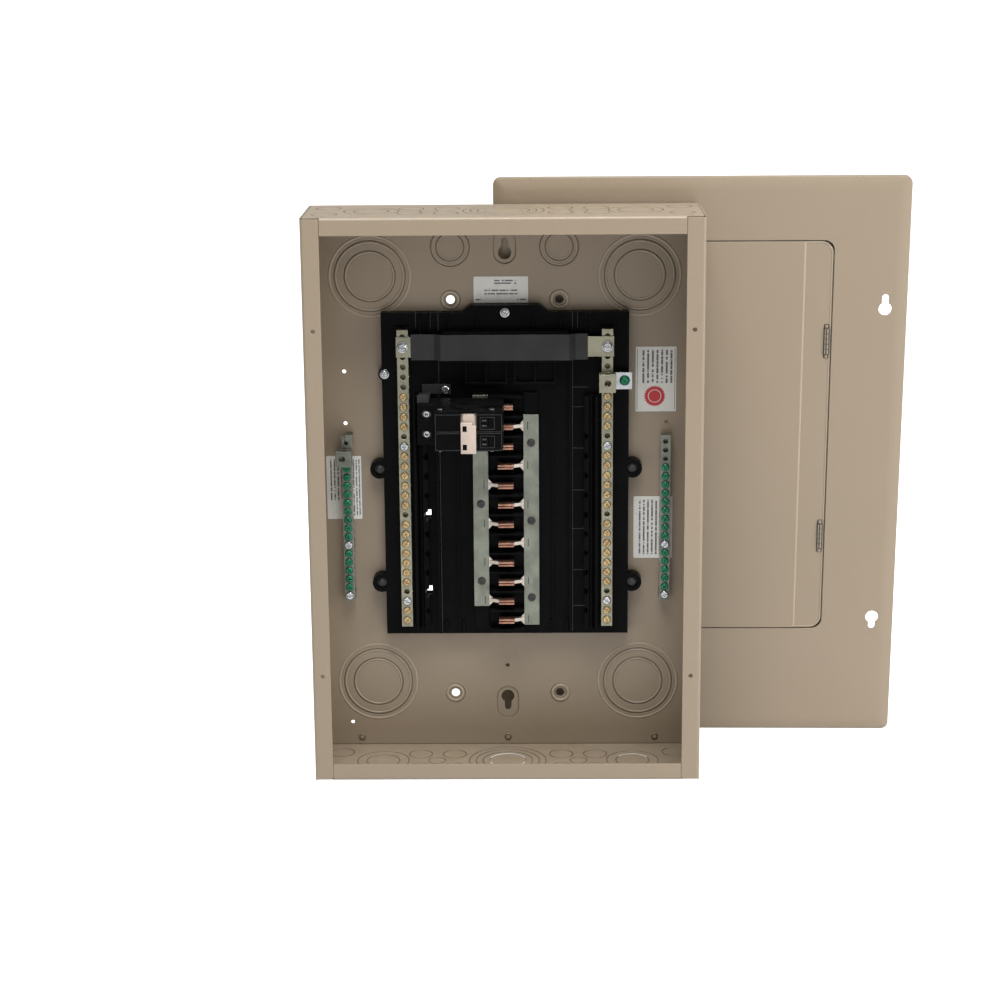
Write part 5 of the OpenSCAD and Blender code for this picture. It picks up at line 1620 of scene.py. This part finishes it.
@dataclass(frozen=True)
class Studio:
    """Floor, soft light and camera."""

    floor_side: float = 60.0
    floor_tone: float = 0.93
    low_air: float = 0.24
    high_air: float = 0.85
    floor_lift: float = 0.9
    camera_place: tuple[float, float, float] = (0.0315, -2.0824, 0.7866)
    yaw_deg: float = -1.014
    pitch_deg: float = -14.155
    roll_deg: float = -0.497
    lens_mm: float = 82.246
    sensor_mm: float = 36.0

    def build(self) -> None:
        """Builds the whole studio."""
        self.add_world()
        self.add_floor()
        self.add_light("top_softbox", (0.1, -0.72, 2.15), (0.1, 0.0, 0.2), 1.1, 42.0)
        self.add_light("right_softbox", (1.9, -0.7, 0.9), (0.35, 0.05, 0.4), 1.0, 24.0)
        self.add_camera()
        bpy.context.scene.view_settings.view_transform = "Standard"

    def add_world(self) -> None:
        """Shows plain white to the camera, and lights the scene more brightly from above than from below."""
        world = bpy.data.worlds.new("studio_air")
        world.use_nodes = True
        world.node_tree.nodes.clear()
        graph = Graph(world.node_tree)
        air = graph.add("ShaderNodeBackground")
        air.inputs["Color"].default_value = (1.0, 1.0, 1.0, 1.0)
        path = graph.add("ShaderNodeLightPath")
        facing = graph.add("ShaderNodeNewGeometry")
        split = graph.add("ShaderNodeSeparateXYZ")
        graph.join(facing.outputs["Incoming"], split.inputs[0])
        down = graph.math("MULTIPLY", split.outputs["Z"], -1.0)
        lit = graph.spread(down, 0.0, 1.0, self.low_air, self.high_air)
        seen = path.outputs["Is Camera Ray"]
        rest = graph.math("MULTIPLY", graph.math("SUBTRACT", 1.0, seen), lit)
        graph.join(graph.math("ADD", seen, rest), air.inputs["Strength"])
        output = graph.add("ShaderNodeOutputWorld")
        graph.join(air.outputs[0], output.inputs["Surface"])
        bpy.context.scene.world = world

    def add_floor(self) -> None:
        """Lays a plain pale floor under the object."""
        bm = bmesh.new()
        bmesh.ops.create_grid(bm, x_segments=1, y_segments=1, size=self.floor_side / 2)
        floor = to_object("studio_floor", bm)
        floor.location.z = CAD_BOX[0].z
        graph, shader = start_material("floor_paper")
        tone = self.floor_tone
        shader.inputs["Base Color"].default_value = (tone, tone, tone, 1.0)
        shader.inputs["Roughness"].default_value = 0.9
        shader.inputs["Specular IOR Level"].default_value = 0.1
        path = graph.add("ShaderNodeLightPath")
        graph.join(graph.math("MULTIPLY", path.outputs["Is Camera Ray"], self.floor_lift),
                   shader.inputs["Emission Strength"])
        shader.inputs["Emission Color"].default_value = (1.0, 1.0, 1.0, 1.0)
        floor.data.materials.append(bpy.data.materials["floor_paper"])

    def add_light(self, name: str, place: Sequence[float], aim: Sequence[float],
                  side: float, power: float) -> None:
        """Hangs a square softbox.

        Args:
            name: The light's name.
            place: Where it hangs.
            aim: The point that it faces.
            side: Length of its sides.
            power: Its power in watts.
        """
        data = bpy.data.lights.new(name, "AREA")
        data.size = side
        data.energy = power
        lamp = bpy.data.objects.new(name, data)
        lamp.location = place
        lamp.rotation_euler = (Vector(aim) - Vector(place)).to_track_quat("-Z", "Y").to_euler()
        bpy.context.scene.collection.objects.link(lamp)

    def add_camera(self) -> None:
        """Sets up the camera."""
        data = bpy.data.cameras.new("studio_camera")
        data.lens = self.lens_mm
        data.sensor_width = self.sensor_mm
        data.clip_start, data.clip_end = 0.05, 100.0
        camera = bpy.data.objects.new("studio_camera", data)
        bpy.context.scene.collection.objects.link(camera)
        yaw, pitch, roll = (math.radians(a) for a in (self.yaw_deg, self.pitch_deg, self.roll_deg))
        ahead = Vector((math.sin(yaw) * math.cos(pitch), math.cos(yaw) * math.cos(pitch), math.sin(pitch)))
        across = Vector((math.cos(yaw), -math.sin(yaw), 0.0))
        above = across.cross(ahead)
        right = math.cos(roll) * across + math.sin(roll) * above
        up = -math.sin(roll) * across + math.cos(roll) * above
        turn = Matrix((right, up, -ahead)).transposed().to_4x4()
        camera.matrix_world = Matrix.Translation(self.camera_place) @ turn
        bpy.context.scene.camera = camera


OWN_FINISH: dict[str, Finish] = {
    "left_neutral_bar": NEUTRAL_PLATING,
    "right_neutral_bar": NEUTRAL_PLATING,
    "neutral_lug": NEUTRAL_PLATING,
    "neutral_strap": NEUTRAL_PLATING,
}


def dress_cad_nodes(paints: Paintbox) -> None:
    """Gives every CAD node the finish of its record slot, or its own.

    Args:
        paints: Where the materials come from.
    """
    for row in frame["record"]["subparts"]:
        node = frame["nodes"][row["node"]]
        node.data.materials.clear()
        own = OWN_FINISH.get(row["node"], FINISHES[Slot(row["material_slot"])])
        node.data.materials.append(paints.get(own))


def main() -> None:
    """Builds the studio, the finishes and the pieces in order."""
    logging.basicConfig(level=logging.INFO, format="%(message)s")
    paints = Paintbox()
    Studio().build()
    dress_cad_nodes(paints)
    Screws(paints, Scatter()).build()
    for label in LABELS:
        label.build(paints)
    WallRelief().build(paints)
    for side, node in ((-1, "left_stabs"), (1, "right_stabs")):
        Stabs(node, side).build(paints)
    PanLines().build(paints)
    BusMarks().build(paints)
    BreakerFace().build(paints)
    Handle().build(paints)
    ShearedEdgeHighlights().build(paints)
    cover = CoverFrame.from_frame()
    TrimFace().build(cover, paints)
    DoorTrim().build(cover, paints)


if __name__ == "__main__":
    main()
